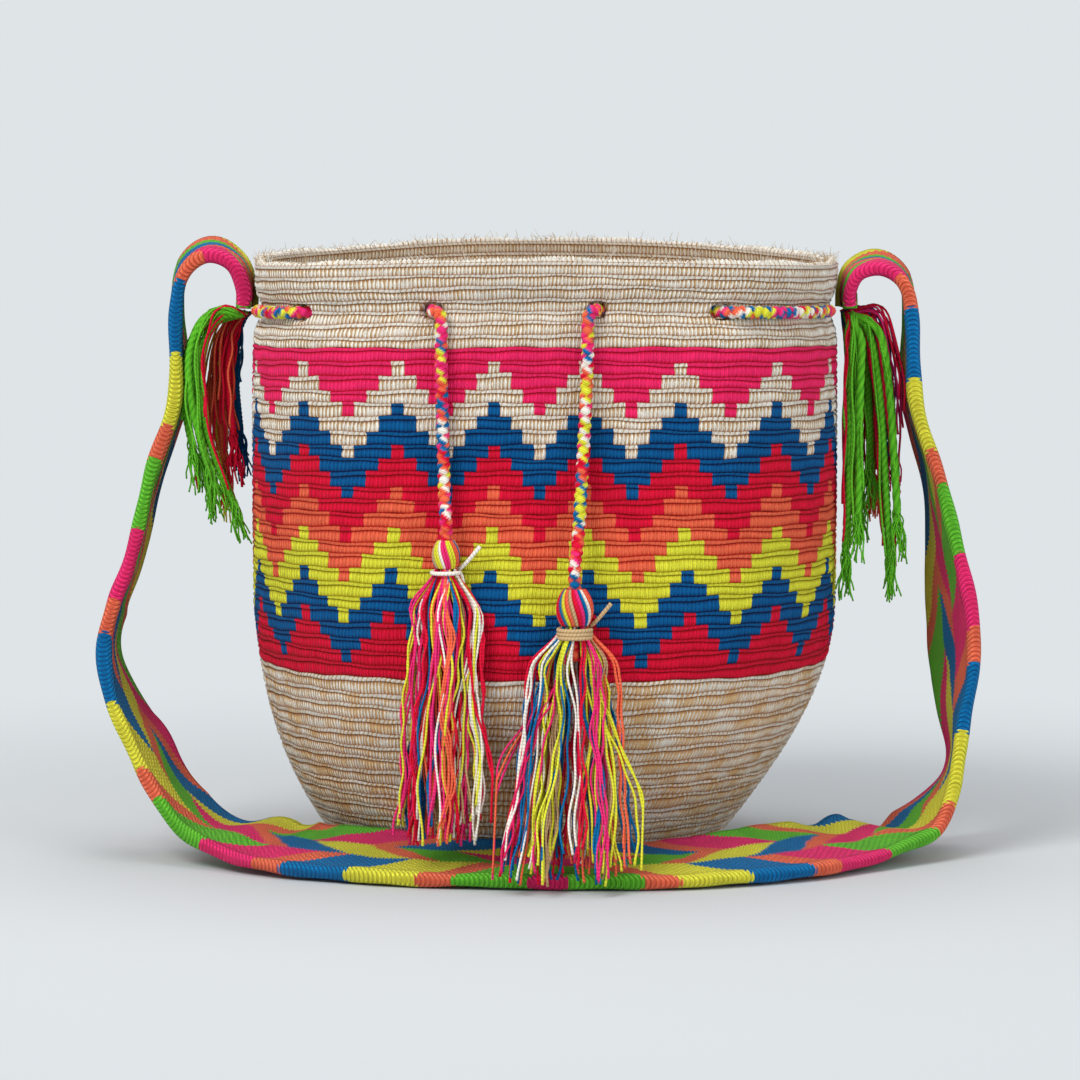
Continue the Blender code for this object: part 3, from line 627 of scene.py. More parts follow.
def makeLining():
    # the back of the same rounds, from the rim down to the foot, and a flat worked floor
    foot = profileLength[11] / wallLength
    lowest = float(np.interp(foot, shareOfRound, np.arange(roundCount + 1)))
    rounds = np.linspace(roundCount, lowest, int((roundCount - lowest) * liningSet["rowsPerRound"]))[:, None]
    angle = np.arange(liningSet["columns"])[None] * 2 * np.pi / liningSet["columns"] + crochetSet["turned"]
    share = shareAtRound(rounds)
    relief = liningSet["relief"] * np.abs(np.sin(np.pi * rounds)) * (rounds < roundCount - 0.1)
    places = wallPlace(angle, share, -wallSet["thickness"] - relief)
    last = places[-1]
    middle = last.mean(0)
    shrink = np.linspace(1, 0.02, liningSet["floorRings"] * 3)[1:, None, None]
    floor = middle + (last - middle) * shrink
    ripple = np.sin(np.arange(len(floor)) * 2.1)[:, None]
    floor[..., 2] = last[:, 2].mean() + liningSet["floorRelief"] * ripple
    places = np.concatenate([places, floor])
    holes = openFaces(eyeletDistance(angle, share), len(floor))
    along = np.concatenate([rounds[:, 0], lowest - np.arange(1, len(floor) + 1) / 3])
    across = np.arange(liningSet["columns"] + 1) * crochetSet["stitches"] / liningSet["columns"]
    return makeBodyPiece("lining", places, liningFinish, across=across, along=along + 64, holes=holes)


def makeBase():
    # flat rounds under the bag: their ridges touch the floor and the grooves rise from it
    columns, ring = baseSet["columns"], np.arange(baseSet["rings"])
    angle = np.arange(columns) * 2 * np.pi / columns
    places = wallPlace(angle, 0.0, 0.0) * np.linspace(1.0, 0.012, len(ring))[:, None, None]
    places[..., 2] = (baseSet["grooveDepth"] * (ring % 3 == 0) * (ring > 0))[:, None]
    return makeBodyPiece("baseRounds", places[::-1], crochetFinish, across=np.arange(columns + 1),
                         along=80 - ring[::-1] / 3)


fuzzSet = {"hairs": 1000, "shortest": 0.0012, "longest": 0.0040, "radius": 0.00014}


def makeFuzz():
    # short loose fibres along the rim's top, leaning any way and curling a little
    luck = np.random.default_rng(23)
    count = fuzzSet["hairs"]
    angle = luck.uniform(0, 2 * np.pi, count)
    start = wallPlace(angle, 1.0, -wallSet["thickness"] * luck.uniform(-0.1, 1.0, count))
    start[:, 2] += wallSet["thickness"] * 0.15
    lean = luck.normal(0, 0.8, (count, 3))
    lean[:, 2] = np.abs(lean[:, 2]) + 0.5
    length = luck.uniform(fuzzSet["shortest"], fuzzSet["longest"], (count, 1, 1))
    t = np.linspace(0, 1, 5)[None, :, None]
    curl = luck.normal(0, 0.5, (count, 1, 3))
    paths = start[:, None] + length * (unit(lean)[:, None] * t + curl * t * t)
    radii = fuzzSet["radius"] * (1 - 0.5 * t)
    table = np.array([yarnColours["tan"], yarnColours["white"], np.array(darkTanAndGrooveShade) * 0.8])
    colours = table[luck.integers(0, 3, count)][:, None, None]
    return makePiece("rimFuzz", tubePlaces(paths, radii, 3, (0, 1, 0.1)), fuzzFinish, "bag", "body_yarn", (),
                     colours=colours)


fuzzFinish = makeYarnFinish("fuzzFibres", 0.00005)
makeLining()
makeBase()
makeFuzz()
print("lining and base done")


# Drawstring: a round braid of four strands, each of mixed yarns
cordSet = {
    "diameter": 0.0058, "roundRelief": 0.0009, "touchGap": 0.0003, "layGap": 0.0016, "passLength": 0.0140,
    "scaleLength": 0.0046, "sides": 16, "step": 0.00072,
}
cordColours = ("yellow", "pink", "white", "orange", "blue", "yellow", "pink", "orange", "blue", "white",
               "crimson")
outsideLay = cordSet["roundRelief"] + cordSet["touchGap"] + cordSet["diameter"] / 2
insideLay = -(wallSet["thickness"] + cordSet["layGap"] + cordSet["diameter"] / 2)


def makeBraid(name, path, reference, body, replaced, seed):
    # two families of strands wind against each other; the upper one alternates cell by cell,
    # and its height is a sine across the strand times a sine along the cell
    path = evenly(path, int(runLength(path)[-1] / cordSet["step"]))
    along = runLength(path)
    around = 2 * np.arange(cordSet["sides"]) / cordSet["sides"]
    wound = along[:, None] / cordSet["scaleLength"]
    first, second = around + wound, around - wound + 64
    over = (np.floor(first) + np.floor(second)) % 2 == 0
    strand, cell = np.where(over, first, second), np.where(over, second, first)
    a, b = strand % 1, cell % 1
    bulge = np.sin(np.pi * a) ** 0.7 * (0.55 + 0.45 * np.sin(np.pi * b) ** 0.6)
    key = np.floor(strand).astype(int) * 3 + np.floor(cell).astype(int) + over * 5 + (a > 0.5) * 2 + seed
    table = np.array([yarnColours[name] for name in cordColours])
    order = np.random.default_rng(seed).integers(0, len(table), 997)
    places = tubePlaces(path, cordSet["diameter"] / 2 * (0.74 + 0.34 * bulge), cordSet["sides"], reference)
    # rise follows the bulge: the yarn finish paints shade where the strands dip
    piece = makePiece(name, places, braidFinish, body, "cord_yarn", replaced, along=along,
                      colours=table[order[key % len(order)]], rise=np.clip(0.15 + bulge * 1.1, 0, 1))
    return piece, path


def drawstringRoute():
    # in and out through the eyelets, from the left front one round the back to the right front one
    order = [math.radians(d) for d in wallSet["leftEyelets"]]
    order += [math.radians(d - 360) for d in reversed(wallSet["rightEyelets"])]
    half = cordSet["passLength"] / 2 / wallSet["bellyRadius"]
    angles, outs = [], []
    outside = True
    for i, angle in enumerate(order):
        before, after = (outsideLay, insideLay) if outside else (insideLay, outsideLay)
        isFirst, isLast = i == 0, i == len(order) - 1
        angles += [angle + half * (0.15 if isFirst else 1), angle, angle - half * (0.15 if isLast else 1)]
        outs += [outsideLay * 0.30 if isFirst else before, (before + after) / 2,
                 outsideLay * 0.30 if isLast else after]
        if isLast:
            break
        gap = order[i + 1] - angle + 2 * half
        between = max(2, round(abs(gap) * wallSet["bellyRadius"] / (3.2 * cordSet["diameter"])))
        angles += [angle - half + gap * k / between for k in range(1, between)]
        outs += [after] * (between - 1)
        outside = not outside
    return wallPlace(np.array(angles), cordShare, np.array(outs))


braidFinish = makeYarnFinish("braidYarns", 0.00018, 6.0, 900.0)
makeBraid("drawstringBraid", curveThrough(drawstringRoute(), 8), (0, 0, 1), "bag", ("drawstring",), 3)
print("drawstring done")


# Tassels: sizes as in the CAD, then what the yarns do
leftTassel = {
    "eyelet": -25.0, "x": -0.0364, "top": 0.1590, "headLength": 0.0130, "headRadius": 0.0064,
    "neckRadius": 0.0050, "skirtLength": 0.1260, "skirtWide": 0.0210, "skirtDeep": 0.0110,
    "shift": (-0.003, 0.006), "bow": 0.80, "tailFrom": 0.30, "yarns": 156, "seed": 5,
    "front": ("white", "orange", "yellow", "blue"), "crossings": (-0.006, 0.002, 0.009, -0.012),
    "tie": "white", "tieWraps": 1,
    "bands": ("pink", "yellow", "yellow", "orange", "orange", "blue", "tan", "tan", "yellow", "yellow",
              "white", "pink"),
}
rightTassel = {
    "eyelet": 12.0, "x": 0.0227, "top": 0.1375, "headLength": 0.0168, "headRadius": 0.0085,
    "neckRadius": 0.0060, "skirtLength": 0.1150, "skirtWide": 0.0300, "skirtDeep": 0.0105,
    "shift": (-0.004, 0.0275), "bow": 0.64, "tailFrom": 0.10, "yarns": 165, "seed": 11,
    "front": ("white", "yellow", "pink", "blue"), "crossings": (0.004, -0.003, -0.020, 0.008),
    "tie": "tan", "tieWraps": 3,
    "bands": ("crimson", "pink", "blue", "white", "orange", "orange", "crimson", "crimson", "blue", "yellow",
              "orange", "tan"),
}
tasselColours = ("pink", "pink", "crimson", "orange", "orange", "orange", "yellow", "yellow", "blue",
                 "blue", "blue", "white", "white", "tan", "pink", "crimson")


def restDepth(x, z):
    # how far forward the wall's rounds reach at a place seen from in front
    def onWall(angle):
        return wallPlace(angle, shareAt(angle, z), cordSet["roundRelief"])
    limit = np.full(np.shape(x), 1.2)
    angle, _ = halve(lambda middle: onWall(middle)[..., 0] < x, -limit, limit, 30)
    return onWall(angle)[..., 1]


def hangStart(degrees):
    half = cordSet["passLength"] / 2 / wallSet["bellyRadius"]
    turn = half * 0.75 * (1 if degrees < 0 else -1)
    return wallPlace(math.radians(degrees) + turn, cordShare, outsideLay * 0.80)


def hangingRoute(tassel):
    # down the front of the bag, from the eyelet to the top of the tassel's head
    first = hangStart(tassel["eyelet"]) + (0, -wallSet["neckDepth"] * 0.8, -cordSet["diameter"] * 0.5)
    t = np.arange(1, 7) / 6
    z = first[2] + (tassel["top"] - first[2]) * t
    x = first[0] + (tassel["x"] - first[0]) * t ** 1.4
    y = np.minimum(restDepth(x, z), restDepth(x, z - tassel["headLength"] * t))
    y = y - (cordSet["layGap"] + cordSet["diameter"] / 2
             + (tassel["headRadius"] - cordSet["diameter"] / 2) * t * t)
    points = np.vstack([first, np.stack([x, y, z], -1)])
    last = points[-1]
    hole = wallPlace(math.radians(tassel["eyelet"]), cordShare, outsideLay * 0.75)
    return np.vstack([hole, points[:-1], last + (0, 0, 1.8 * cordSet["diameter"]), last])


def tasselAxis(tassel, neck, t):
    deepest = restDepth(np.full(6, neck[0]), np.linspace(wallSet["bellyHeight"] * 0.7, neck[2], 6)).min()
    share = np.minimum(1.0, t / 0.45)
    y = neck[1] + (deepest - 0.0105 - neck[1]) * share * share * (3 - 2 * share)
    y = y - tassel["shift"][1] * np.clip((t - 0.45) / 0.55, 0, None) ** 1.3
    return np.stack([neck[0] + tassel["shift"][0] * t ** 1.3, y, neck[2] - tassel["skirtLength"] * t], -1)


tasselFinish = makeYarnFinish("tasselYarns", 0.00020)
tieFinish = makeYarnFinish("tieYarn", 0.00020)


def makeHead(name, tassel, top, body, node):
    # yarns lie side by side over a ball, each a narrow ridge: radius * (1 + ridge * |cos|)
    bands = tassel["bands"]
    yarnCount = 2 * len(bands)
    columns, rows = yarnCount * 4, 22
    t = np.linspace(0, 1, rows)
    size = tassel["headRadius"] * (0.40 + 0.60 * np.sin(np.pi * (0.06 + 0.80 * t)) ** 0.7)
    turn = np.arange(columns) / columns
    ridge = np.abs(np.sin(np.pi * yarnCount * turn)) ** 0.7
    radii = size[:, None] * (0.93 + 0.09 * ridge[None])
    swirl = 0.10 * (t - 0.5)
    angle = 2 * np.pi * (turn[None] - 0.5 + swirl[:, None])
    places = np.stack([top[0] + radii * np.sin(angle), top[1] - radii * np.cos(angle),
                       np.broadcast_to((top[2] - tassel["headLength"] * t)[:, None], radii.shape)], -1)
    table = np.array([yarnColours[b] for b in bands])
    which = np.floor(turn * yarnCount).astype(int) % len(bands)
    # rise follows the ridges: painted shade between the yarns
    return makePiece(name, places[::-1], tasselFinish, body, "tassel_yarn", (node,),
                     across=np.arange(columns + 1) / 4, along=(tassel["headLength"] * t)[::-1],
                     colours=table[which], rise=0.25 + 0.75 * ridge)


def makeSkirt(name, tassel, neck, body, node):
    # yarns come in threes of one colour. Each three leaves the neck at its own place in a small
    # disc, bows out at once and hangs in a wide oval. Sines of random length and phase wave it,
    # every yarn adds smaller ones of its own, and strays cross to the other side.
    luck = np.random.default_rng(tassel["seed"])
    groups, rows = tassel["yarns"] // 3, 34
    count = groups * 3

    def inThrees(values):
        return np.repeat(values, 3)

    length = tassel["skirtLength"] * luck.uniform(0.84, 1.0, count)
    t = np.linspace(0, 1, rows)
    share = t[None] * (length / tassel["skirtLength"])[:, None]
    axis = tasselAxis(tassel, neck, share)
    angle = inThrees(np.sort(luck.uniform(0, 2 * np.pi, groups)))
    reach = inThrees(np.sqrt(luck.uniform(0.08, 1.0, groups)))
    near = np.stack([np.cos(angle), np.sin(angle)], -1) * reach[:, None] * tassel["neckRadius"] * 0.86
    drift = angle + inThrees(luck.normal(0, 0.30, groups)) + luck.normal(0, 0.10, count)
    farReach = np.clip(reach + luck.normal(0, 0.06, count), 0.1, 1.0)
    far = np.stack([np.cos(drift) * tassel["skirtWide"], np.sin(drift) * tassel["skirtDeep"]], -1)
    far = far * farReach[:, None]
    bow = smoothStep(-0.02, 0.17, share)[..., None]
    tail = smoothStep(tassel["tailFrom"], 1.0, share)[..., None]
    offset = near[:, None] * (1 - bow) + far[:, None] * (tassel["bow"] * bow + (1 - tassel["bow"]) * tail)
    turns = 2 * np.pi * share
    reachOf, speed, phase = (inThrees(luck.uniform(low, high, groups))[:, None]
                             for low, high in ((0.0009, 0.0026), (0.9, 2.1), (0, 6.28)))
    wave = reachOf * np.sin(turns * speed + phase)
    reachOf, speed, phase = (luck.uniform(low, high, (count, 1))
                             for low, high in ((0.0002, 0.0010), (2.5, 6.0), (0, 6.28)))
    wave = wave + reachOf * np.sin(turns * speed + phase)
    stray = luck.normal(0, 0.010, groups) * (luck.random(groups) < 0.18)
    forward = np.where(np.sin(angle[::3]) * reach[::3] > 0.25, np.abs(np.cos(angle[::3])), 9.0)
    frontGroups = np.argsort(forward)[:len(tassel["front"])]
    stray[frontGroups] = tassel["crossings"]
    stray = inThrees(stray)[:, None]
    aside = wave * bow[..., 0] + stray * smoothStep(0.1, 0.8, share)
    limit = tassel["skirtWide"] * 1.12
    paths = axis.copy()
    paths[..., 0] += np.clip(offset[..., 0] + aside, -limit, limit)
    paths[..., 1] -= offset[..., 1] + 0.35 * np.roll(wave, 7, axis=0) * bow[..., 0]
    paths[..., 2] = np.maximum(paths[..., 2], 0.0009)
    thick = luck.uniform(0.00050, 0.00062, count)[:, None] * np.ones(rows)
    thick[:, -1] *= 1.25
    places = tubePlaces(paths, thick[..., None], 5, (1, 0, 0))
    table = np.array([yarnColours[c] for c in tasselColours])
    picks = luck.integers(0, len(table), groups)
    picks[frontGroups] = [tasselColours.index(c) for c in tassel["front"]]
    picks = inThrees(picks)
    picks = np.where(luck.random(count) < 0.15, np.roll(picks, 5), picks)
    # yarns that hang nearer the middle get a lower rise: painted shade inside the skirt
    inner = np.clip(0.30 + 0.8 * farReach, 0, 1)
    return makePiece(name, places[:, ::-1], tasselFinish, body, "tassel_yarn", (node,),
                     along=(length[:, None] * t)[:, ::-1], colours=table[picks][:, None, None],
                     rise=inner[:, None, None])


def makeTie(name, tassel, neck, body, node):
    # the binding yarn winds round the neck and leaves two loose ends on the right
    wraps, yarnRadius = tassel["tieWraps"], 0.00095
    turn = np.linspace(0, 2 * np.pi * wraps, 40 * wraps) + 1.9
    radius = tassel["neckRadius"] * 1.03 + 0.0009 + yarnRadius * 0.5
    height = neck[2] - 0.0005 - 0.0017 * (turn - turn[0]) / (2 * np.pi) + 0.0004 * np.sin(turn)
    loop = np.stack([neck[0] + radius * np.sin(turn), neck[1] - radius * np.cos(turn), height], -1)
    first, last = loop[0], loop[-1]
    up = first + [(0.0095, -0.0018, 0.0105), (0.0070, -0.0022, 0.0075), (0.0032, -0.0018, 0.0030)]
    down = last + [(0.0012, -0.0020, -0.0020), (0.0018, -0.0024, -0.0070), (0.0012, -0.0022, -0.0115)]
    path = curveThrough(np.vstack([up, loop[::3], down]), 4)
    places = tubePlaces(path, yarnRadius, 8, (0, 0.2, 1))
    return makePiece(name, places, tieFinish, body, "white_yarn", (node,), along=runLength(path),
                     colours=np.array(yarnColours[tassel["tie"]]))


def makeTassel(side, tassel):
    name, body = side + "Tassel", side + "_tassel"
    route = hangingRoute(tassel)
    top = route[-1] + (0, 0, -cordSet["touchGap"])
    neck = top + (0, 0, -tassel["headLength"] - cordSet["touchGap"])
    inner = tasselAxis(tassel, neck, np.array([0.06, 0.14]))
    path = np.vstack([curveThrough(route, 8), neck, inner])
    cord, path = makeBraid(name + "Cord", path, (1, 0, 0), None, (side + "_cord_end",), tassel["seed"])
    head = makeHead(name + "Head", tassel, top, body, side + "_tassel_head")
    skirt = makeSkirt(name + "Skirt", tassel, neck, body, side + "_tassel_skirt")
    tie = makeTie(name + "Tie", tassel, neck, body, side + "_tassel_tie")
    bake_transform(cord)
    print(side, "tassel done, cord", round(float(runLength(path)[-1]), 4))


makeTassel("left", leftTassel)
makeTassel("right", rightTassel)


# Strap
strapSet = {
    "width": 0.056, "thickness": 0.0048, "edge": 0.0070, "endHeight": 0.262, "floorGap": 0.0004,
    "restLean": 8.0, "step": 0.0018, "faceSamples": 24, "edgeSamples": 9, "strandPitch": 4.0,
    "strokePitch": 2.3, "unevenness": 0.00022,
    "sequence": (("pink", 35), ("orange", 17), ("blue", 35), ("yellow", 35), ("orange", 17), ("green", 35)),
    "tints": {"blue": (0.001, 0.20, 0.50), "orange": (0.96, 0.20, 0.100), "pink": (0.96, 0.035, 0.21),
              "yellow": (0.88, 0.88, 0.070), "green": (0.16, 0.64, 0.040)},
    # (first and last share of the width, the colours' shift in mm there)
    "arms": ((0.0, 0.38, 0.0, -28.0), (0.38, 0.62, 9.0, 38.0), (0.62, 1.0, -46.0, -92.0)),
}


def sewnPlane(side):
    heights = np.linspace(strapSet["endHeight"], wallSet["height"], 12)
    angle = np.full(12, side * math.pi / 2)
    reach = (side * wallPlace(angle, shareAt(angle, heights), cordSet["roundRelief"])[:, 0]).max()
    return side * (reach + cordSet["touchGap"] + strapSet["edge"] / 2)


def strapRoute():
    # front edge as points (x, y, z, lean in degrees), as the CAD has them, with an evener lean
    # where the right side comes down to the floor
    half = strapSet["width"] / 2
    low = strapSet["endHeight"] / wallSet["height"]
    left = [
        (0.0, low, half, 0), (0.0, 0.950, half, 0), (0.006, 0.990, half, -3),
        (0.018, 1.003, half, -7), (0.0285, 0.975, half, -6), (0.0325, 0.915, half, -3),
        (0.0332, 0.763, 0.034, 0), (0.0450, 0.633, 0.036, 0), (0.0541, 0.497, 0.041, 0),
        (0.0619, 0.425, 0.045, 1), (0.0668, 0.350, 0.049, 3), (0.0625, 0.261, 0.056, 10),
        (0.0531, 0.189, 0.063, 11.5), (0.0429, 0.125, 0.071, 12.5), (0.0276, 0.057, 0.083, 19),
    ]
    right = [
        (0.0, low, half, 0), (0.0, 0.944, half, 0), (0.005, 0.974, half, -3),
        (0.016, 0.980, half, -7), (0.026, 0.955, half, -6), (0.0300, 0.900, half, -2),
        (0.0315, 0.763, 0.034, 0.5), (0.0434, 0.629, 0.035, 2.5), (0.0536, 0.497, 0.039, 13.5),
        (0.0599, 0.389, 0.043, 18.5), (0.0596, 0.307, 0.046, 13.5), (0.0544, 0.234, 0.050, 2),
        (0.0517, 0.169, 0.054, -1), (0.0488, 0.105, 0.060, 18.0), (0.0403, 0.052, 0.070, 18.0),
    ]
    floor = strapSet["edge"] / 2 + strapSet["floorGap"]
    rest = math.radians(strapSet["restLean"])
    backHeight = floor + strapSet["edge"] / 2 + strapSet["width"] * math.sin(rest)
    foot = float(np.interp(backHeight, profileHeight, profileRadius))
    front = foot + cordSet["roundRelief"] + 3 * cordSet["touchGap"] + strapSet["width"] * math.cos(rest)
    middle = [
        (-1.081, 0.0043, front - 0.0589, 17.5), (-0.969, 0.0016, front - 0.0449, 14.5),
        (-0.789, 0.0004, front - 0.0289, 13.5), (-0.45, 0.0, front - 0.0085, 11.5),
        (0.0, 0.0, front + 0.001, strapSet["restLean"]), (0.45, 0.0, front - 0.001, 9.5),
        (0.828, 0.0007, front - 0.0239, 12.5), (1.062, 0.0015, front - 0.0519, 15.0),
        (1.205, 0.0050, front - 0.0719, 14.5),
    ]
    height = wallSet["height"]

    def hung(side, rows):
        return [(sewnPlane(side) + side * out, -forward, share * height, turn)
                for out, share, forward, turn in rows]

    laid = [(wallSet["lean"] + across * wallSet["bellyRadius"], -forward, floor + up, turn)
            for across, up, forward, turn in middle]
    return np.array(hung(-1, left) + laid + hung(1, right)[::-1])


def strapAcross():
    # places round the strap's section: share across it, and half its thickness there.
    # The edges are round and fuller, where the warps turn back.
    fat = 0.060
    turn = np.linspace(0, np.pi / 2, strapSet["edgeSamples"])
    corner = fat * (1 - np.cos(turn))
    face = np.linspace(fat, 1 - fat, strapSet["faceSamples"] + 1)[1:-1]
    across = np.concatenate([corner, face, (1 - corner)[::-1]])
    gap = np.minimum(across, 1 - across)
    rounded = strapSet["edge"] / 2 * np.sqrt(np.clip(1 - (1 - gap / fat) ** 2, 0, 1))
    settle = smoothStep(fat, 2.2 * fat, gap)
    flat = strapSet["edge"] / 2 + (strapSet["thickness"] - strapSet["edge"]) / 2 * settle
    return across, np.where(gap < fat, rounded, flat)


def makeStrapFinish():
    # u runs across the strap and v along it in metres. The colour at a place is that of the edge
    # further back by the arm's shift, so the strips run slantwise and meet in points at two spines.
    material, tree, shader = newFinish("strapYarns", sheen=0.05)
    u, v = surfaceMap(tree)
    names, lengths = zip(*strapSet["sequence"])
    period = sum(lengths)
    mm = v * 1000.0
    half = strapLength * 500.0
    wobble = grain(tree, joined(tree, u * 7.0, mm * 0.12), 1.0) * 5.0 - 2.5
    place = u + calc(tree, "PINGPONG", mm, 1.1) * 0.034 - 0.019 + wobble * 0.006
    shift = rescale(tree, place, *strapSet["arms"][0])
    for low, high, first, last in strapSet["arms"][1:]:
        past = calc(tree, "GREATER_THAN", place, low)
        shift = past * (rescale(tree, place, low, high, first, last) - shift) + shift
    edgeAt = half - abs(mm - half) + shift + wobble
    field = colourSteps(tree, edgeAt / period % 1.0, [sum(lengths[:i]) / period for i in range(len(lengths))],
                        [strapSet["tints"].get(name, yarnColours[name]) for name in names])

    # strands on the faces follow the strips; strokes at the edges meet in a V on the outermost line
    fromEdge = calc(tree, "MINIMUM", u, 1.0 - u) * (strapSet["width"] * 1000)
    onFace = rescale(tree, fromEdge, 3.0, 4.2)
    strand = edgeAt / strapSet["strandPitch"]
    stroke = (mm + fromEdge * 1.1) / strapSet["strokePitch"]
    ridge = abs(turned(onFace * (strand - stroke) + stroke, 0.5)) ** 0.55
    twill = abs(turned(fromEdge * 0.42 + mm * 0.40, 0.5)) ** 0.6
    ridge = ridge * ((twill - 1.0) * onFace * 0.55 + 1.0)
    ridge = ridge * (rescale(tree, fromEdge, 0.0, 0.5) * 0.4 + 0.6)
    # painted shade: the colour darkens between the ridges of strands and strokes, in the twill's lines and
    # near the very edge
    depth = onFace * -0.12 + 0.60
    colour, height = fibre(tree, field, strand, mm, 2.0, 0.9, ridge * depth + (1.0 - depth))
    shade = blendColour(tree, 1.0, colour, (0.50, 0.46, 0.52), "MULTIPLY")
    colour = blendColour(tree, ridge * 0.60 + 0.40, shade, colour)
    finishSurface(tree, shader, colour, ridge * (onFace * 0.3 + 1.7) + height, 0.00050)
    return material


def strapSections():
    curve = curveThrough(strapRoute(), 24)
    curve = evenly(curve, int(runLength(curve)[-1] / strapSet["step"]))
    edge = curve[:, :3]
    tangent = unit(np.gradient(edge, axis=0))
    inward = unit(np.cross(tangent, (0, 1, 0)))
    level = unit(np.cross(inward, tangent))
    turn = np.radians(curve[:, 3])[:, None]
    across = level * np.cos(turn) + inward * np.sin(turn)
    return edge, across, unit(np.cross(tangent, across))


def makeStrap():
    # edge + across * share * width + normal * thickness, round the whole section, with slow
    # unevenness of the weave: sines that run along and across it
    edge, across, normal = strapSections()
    share, thick = strapAcross()
    along = runLength(edge)
    side = np.concatenate([np.ones(len(thick)), -np.ones(len(thick) - 2)])[::-1]
    share, thick = (np.concatenate([half, half[-2:0:-1]])[::-1] for half in (share, thick))
    mm = along[:, None] * 1000
    uneven = np.sin(mm / 5.3 + 7 * share) + np.sin(mm / 8.9 - 4 * share + side)
    uneven = uneven + np.sin(mm / 17.0 + 9 * share)
    out = (thick + strapSet["unevenness"] * uneven * np.minimum(1, thick / 0.002)) * side
    sway = 0.004 * np.sin(mm / 11.0) + 0.003 * np.sin(mm / 6.1 + 1)
    places = (edge[:, None] + across[:, None] * (share + sway)[..., None] * strapSet["width"]
              + normal[:, None] * out[..., None])
    places[..., 2] = np.maximum(places[..., 2], 0.0002)
    return makePiece("strapBand", places, makeStrapFinish(), "bag", "strap_yarn", ("shoulder_strap",),
                     across=np.append(share, share[0]), along=along)


strapEdge = strapSections()[0]
strapLength = float(runLength(strapEdge)[-1])
strap = makeStrap()
print("strap done, length", round(strapLength, 4))


# Fringe and seams at the sewn ends
ropeSet = {
    "diameter": 0.0040, "plies": 3, "twist": 0.0062, "sides": 12, "lane": 8, "start": (0.001, 0.0026, 0),
    "looseYarns": 13, "looseRadius": 0.00056, "looseTail": 0.012, "looseLift": 0.0085,
    "frayYarns": 24, "frayRadius": 0.00040, "frayLength": (0.012, 0.027), "doubled": ("green",),
    "apart": (0.0046, -0.0026, 0.0022), "tints": {"red": "crimson"},
    "looseColours": {
        "green": ("green", "green", "crimson", "green", "red"), "red": ("crimson", "orange", "crimson"),
        "pink": ("pink", "crimson", "pink"), "orange": ("orange", "crimson", "orange"),
        "blue": ("blue", "blue", "orange"), "yellow": ("yellow", "orange", "blue"),
    },
}
# colour, lane, and the places after the start as (outward, down, forward in mm)
leftRopes = (
    ("green", 1, (0.012, 0.005, 2), (0.0205, 0.020, 5), (0.0210, 0.042, 8), (0.0150, 0.068, 9),
     (0.0065, 0.090, 10)),
    ("green", 2, (0.015, 0.008, 2), (0.0235, 0.026, 4), (0.0240, 0.050, 6), (0.0180, 0.080, 7)),
    ("red", 3, (0.006, 0.012, 2), (0.0090, 0.034, 5), (0.0060, 0.062, 7)),
    ("orange", 4, (0.009, 0.014, 2), (0.0130, 0.040, 5), (0.0110, 0.074, 7)),
    ("blue", 5, (0.005, 0.014, 2), (0.0060, 0.036, 4), (0.0040, 0.060, 5)),
    ("yellow", 6, (0.012, 0.016, 2), (0.0165, 0.046, 4), (0.0120, 0.082, 5)),
)
rightRopes = (
    ("green", 1, (0.001, 0.018, 5), (-0.0005, 0.050, 13), (-0.0010, 0.084, 17), (-0.0025, 0.116, 19)),
    ("green", 2, (0.010, 0.012, 2), (0.0150, 0.042, 5), (0.0175, 0.080, 8), (0.0200, 0.118, 9)),
    ("pink", 3, (0.013, 0.008, 2), (0.0200, 0.030, 4), (0.0220, 0.066, 6)),
    ("green", 4, (0.004, 0.020, 4), (0.0060, 0.055, 9), (0.0065, 0.090, 11)),
    ("orange", 5, (0.007, 0.016, 2), (0.0110, 0.046, 5), (0.0130, 0.080, 6)),
    ("yellow", 6, (0.003, 0.018, 2), (0.0040, 0.050, 5), (0.0050, 0.082, 6)),
    ("blue", 7, (0.014, 0.012, 2), (0.0180, 0.032, 3), (0.0190, 0.054, 3)),
)
ropeFinish = makeYarnFinish("ropeYarns", 0.00016, 9.0, 500.0)
frayFinish = makeYarnFinish("frayYarns", 0.00012)


def ropeTint(colour):
    return np.array(yarnColours[ropeSet["tints"].get(colour, colour)])


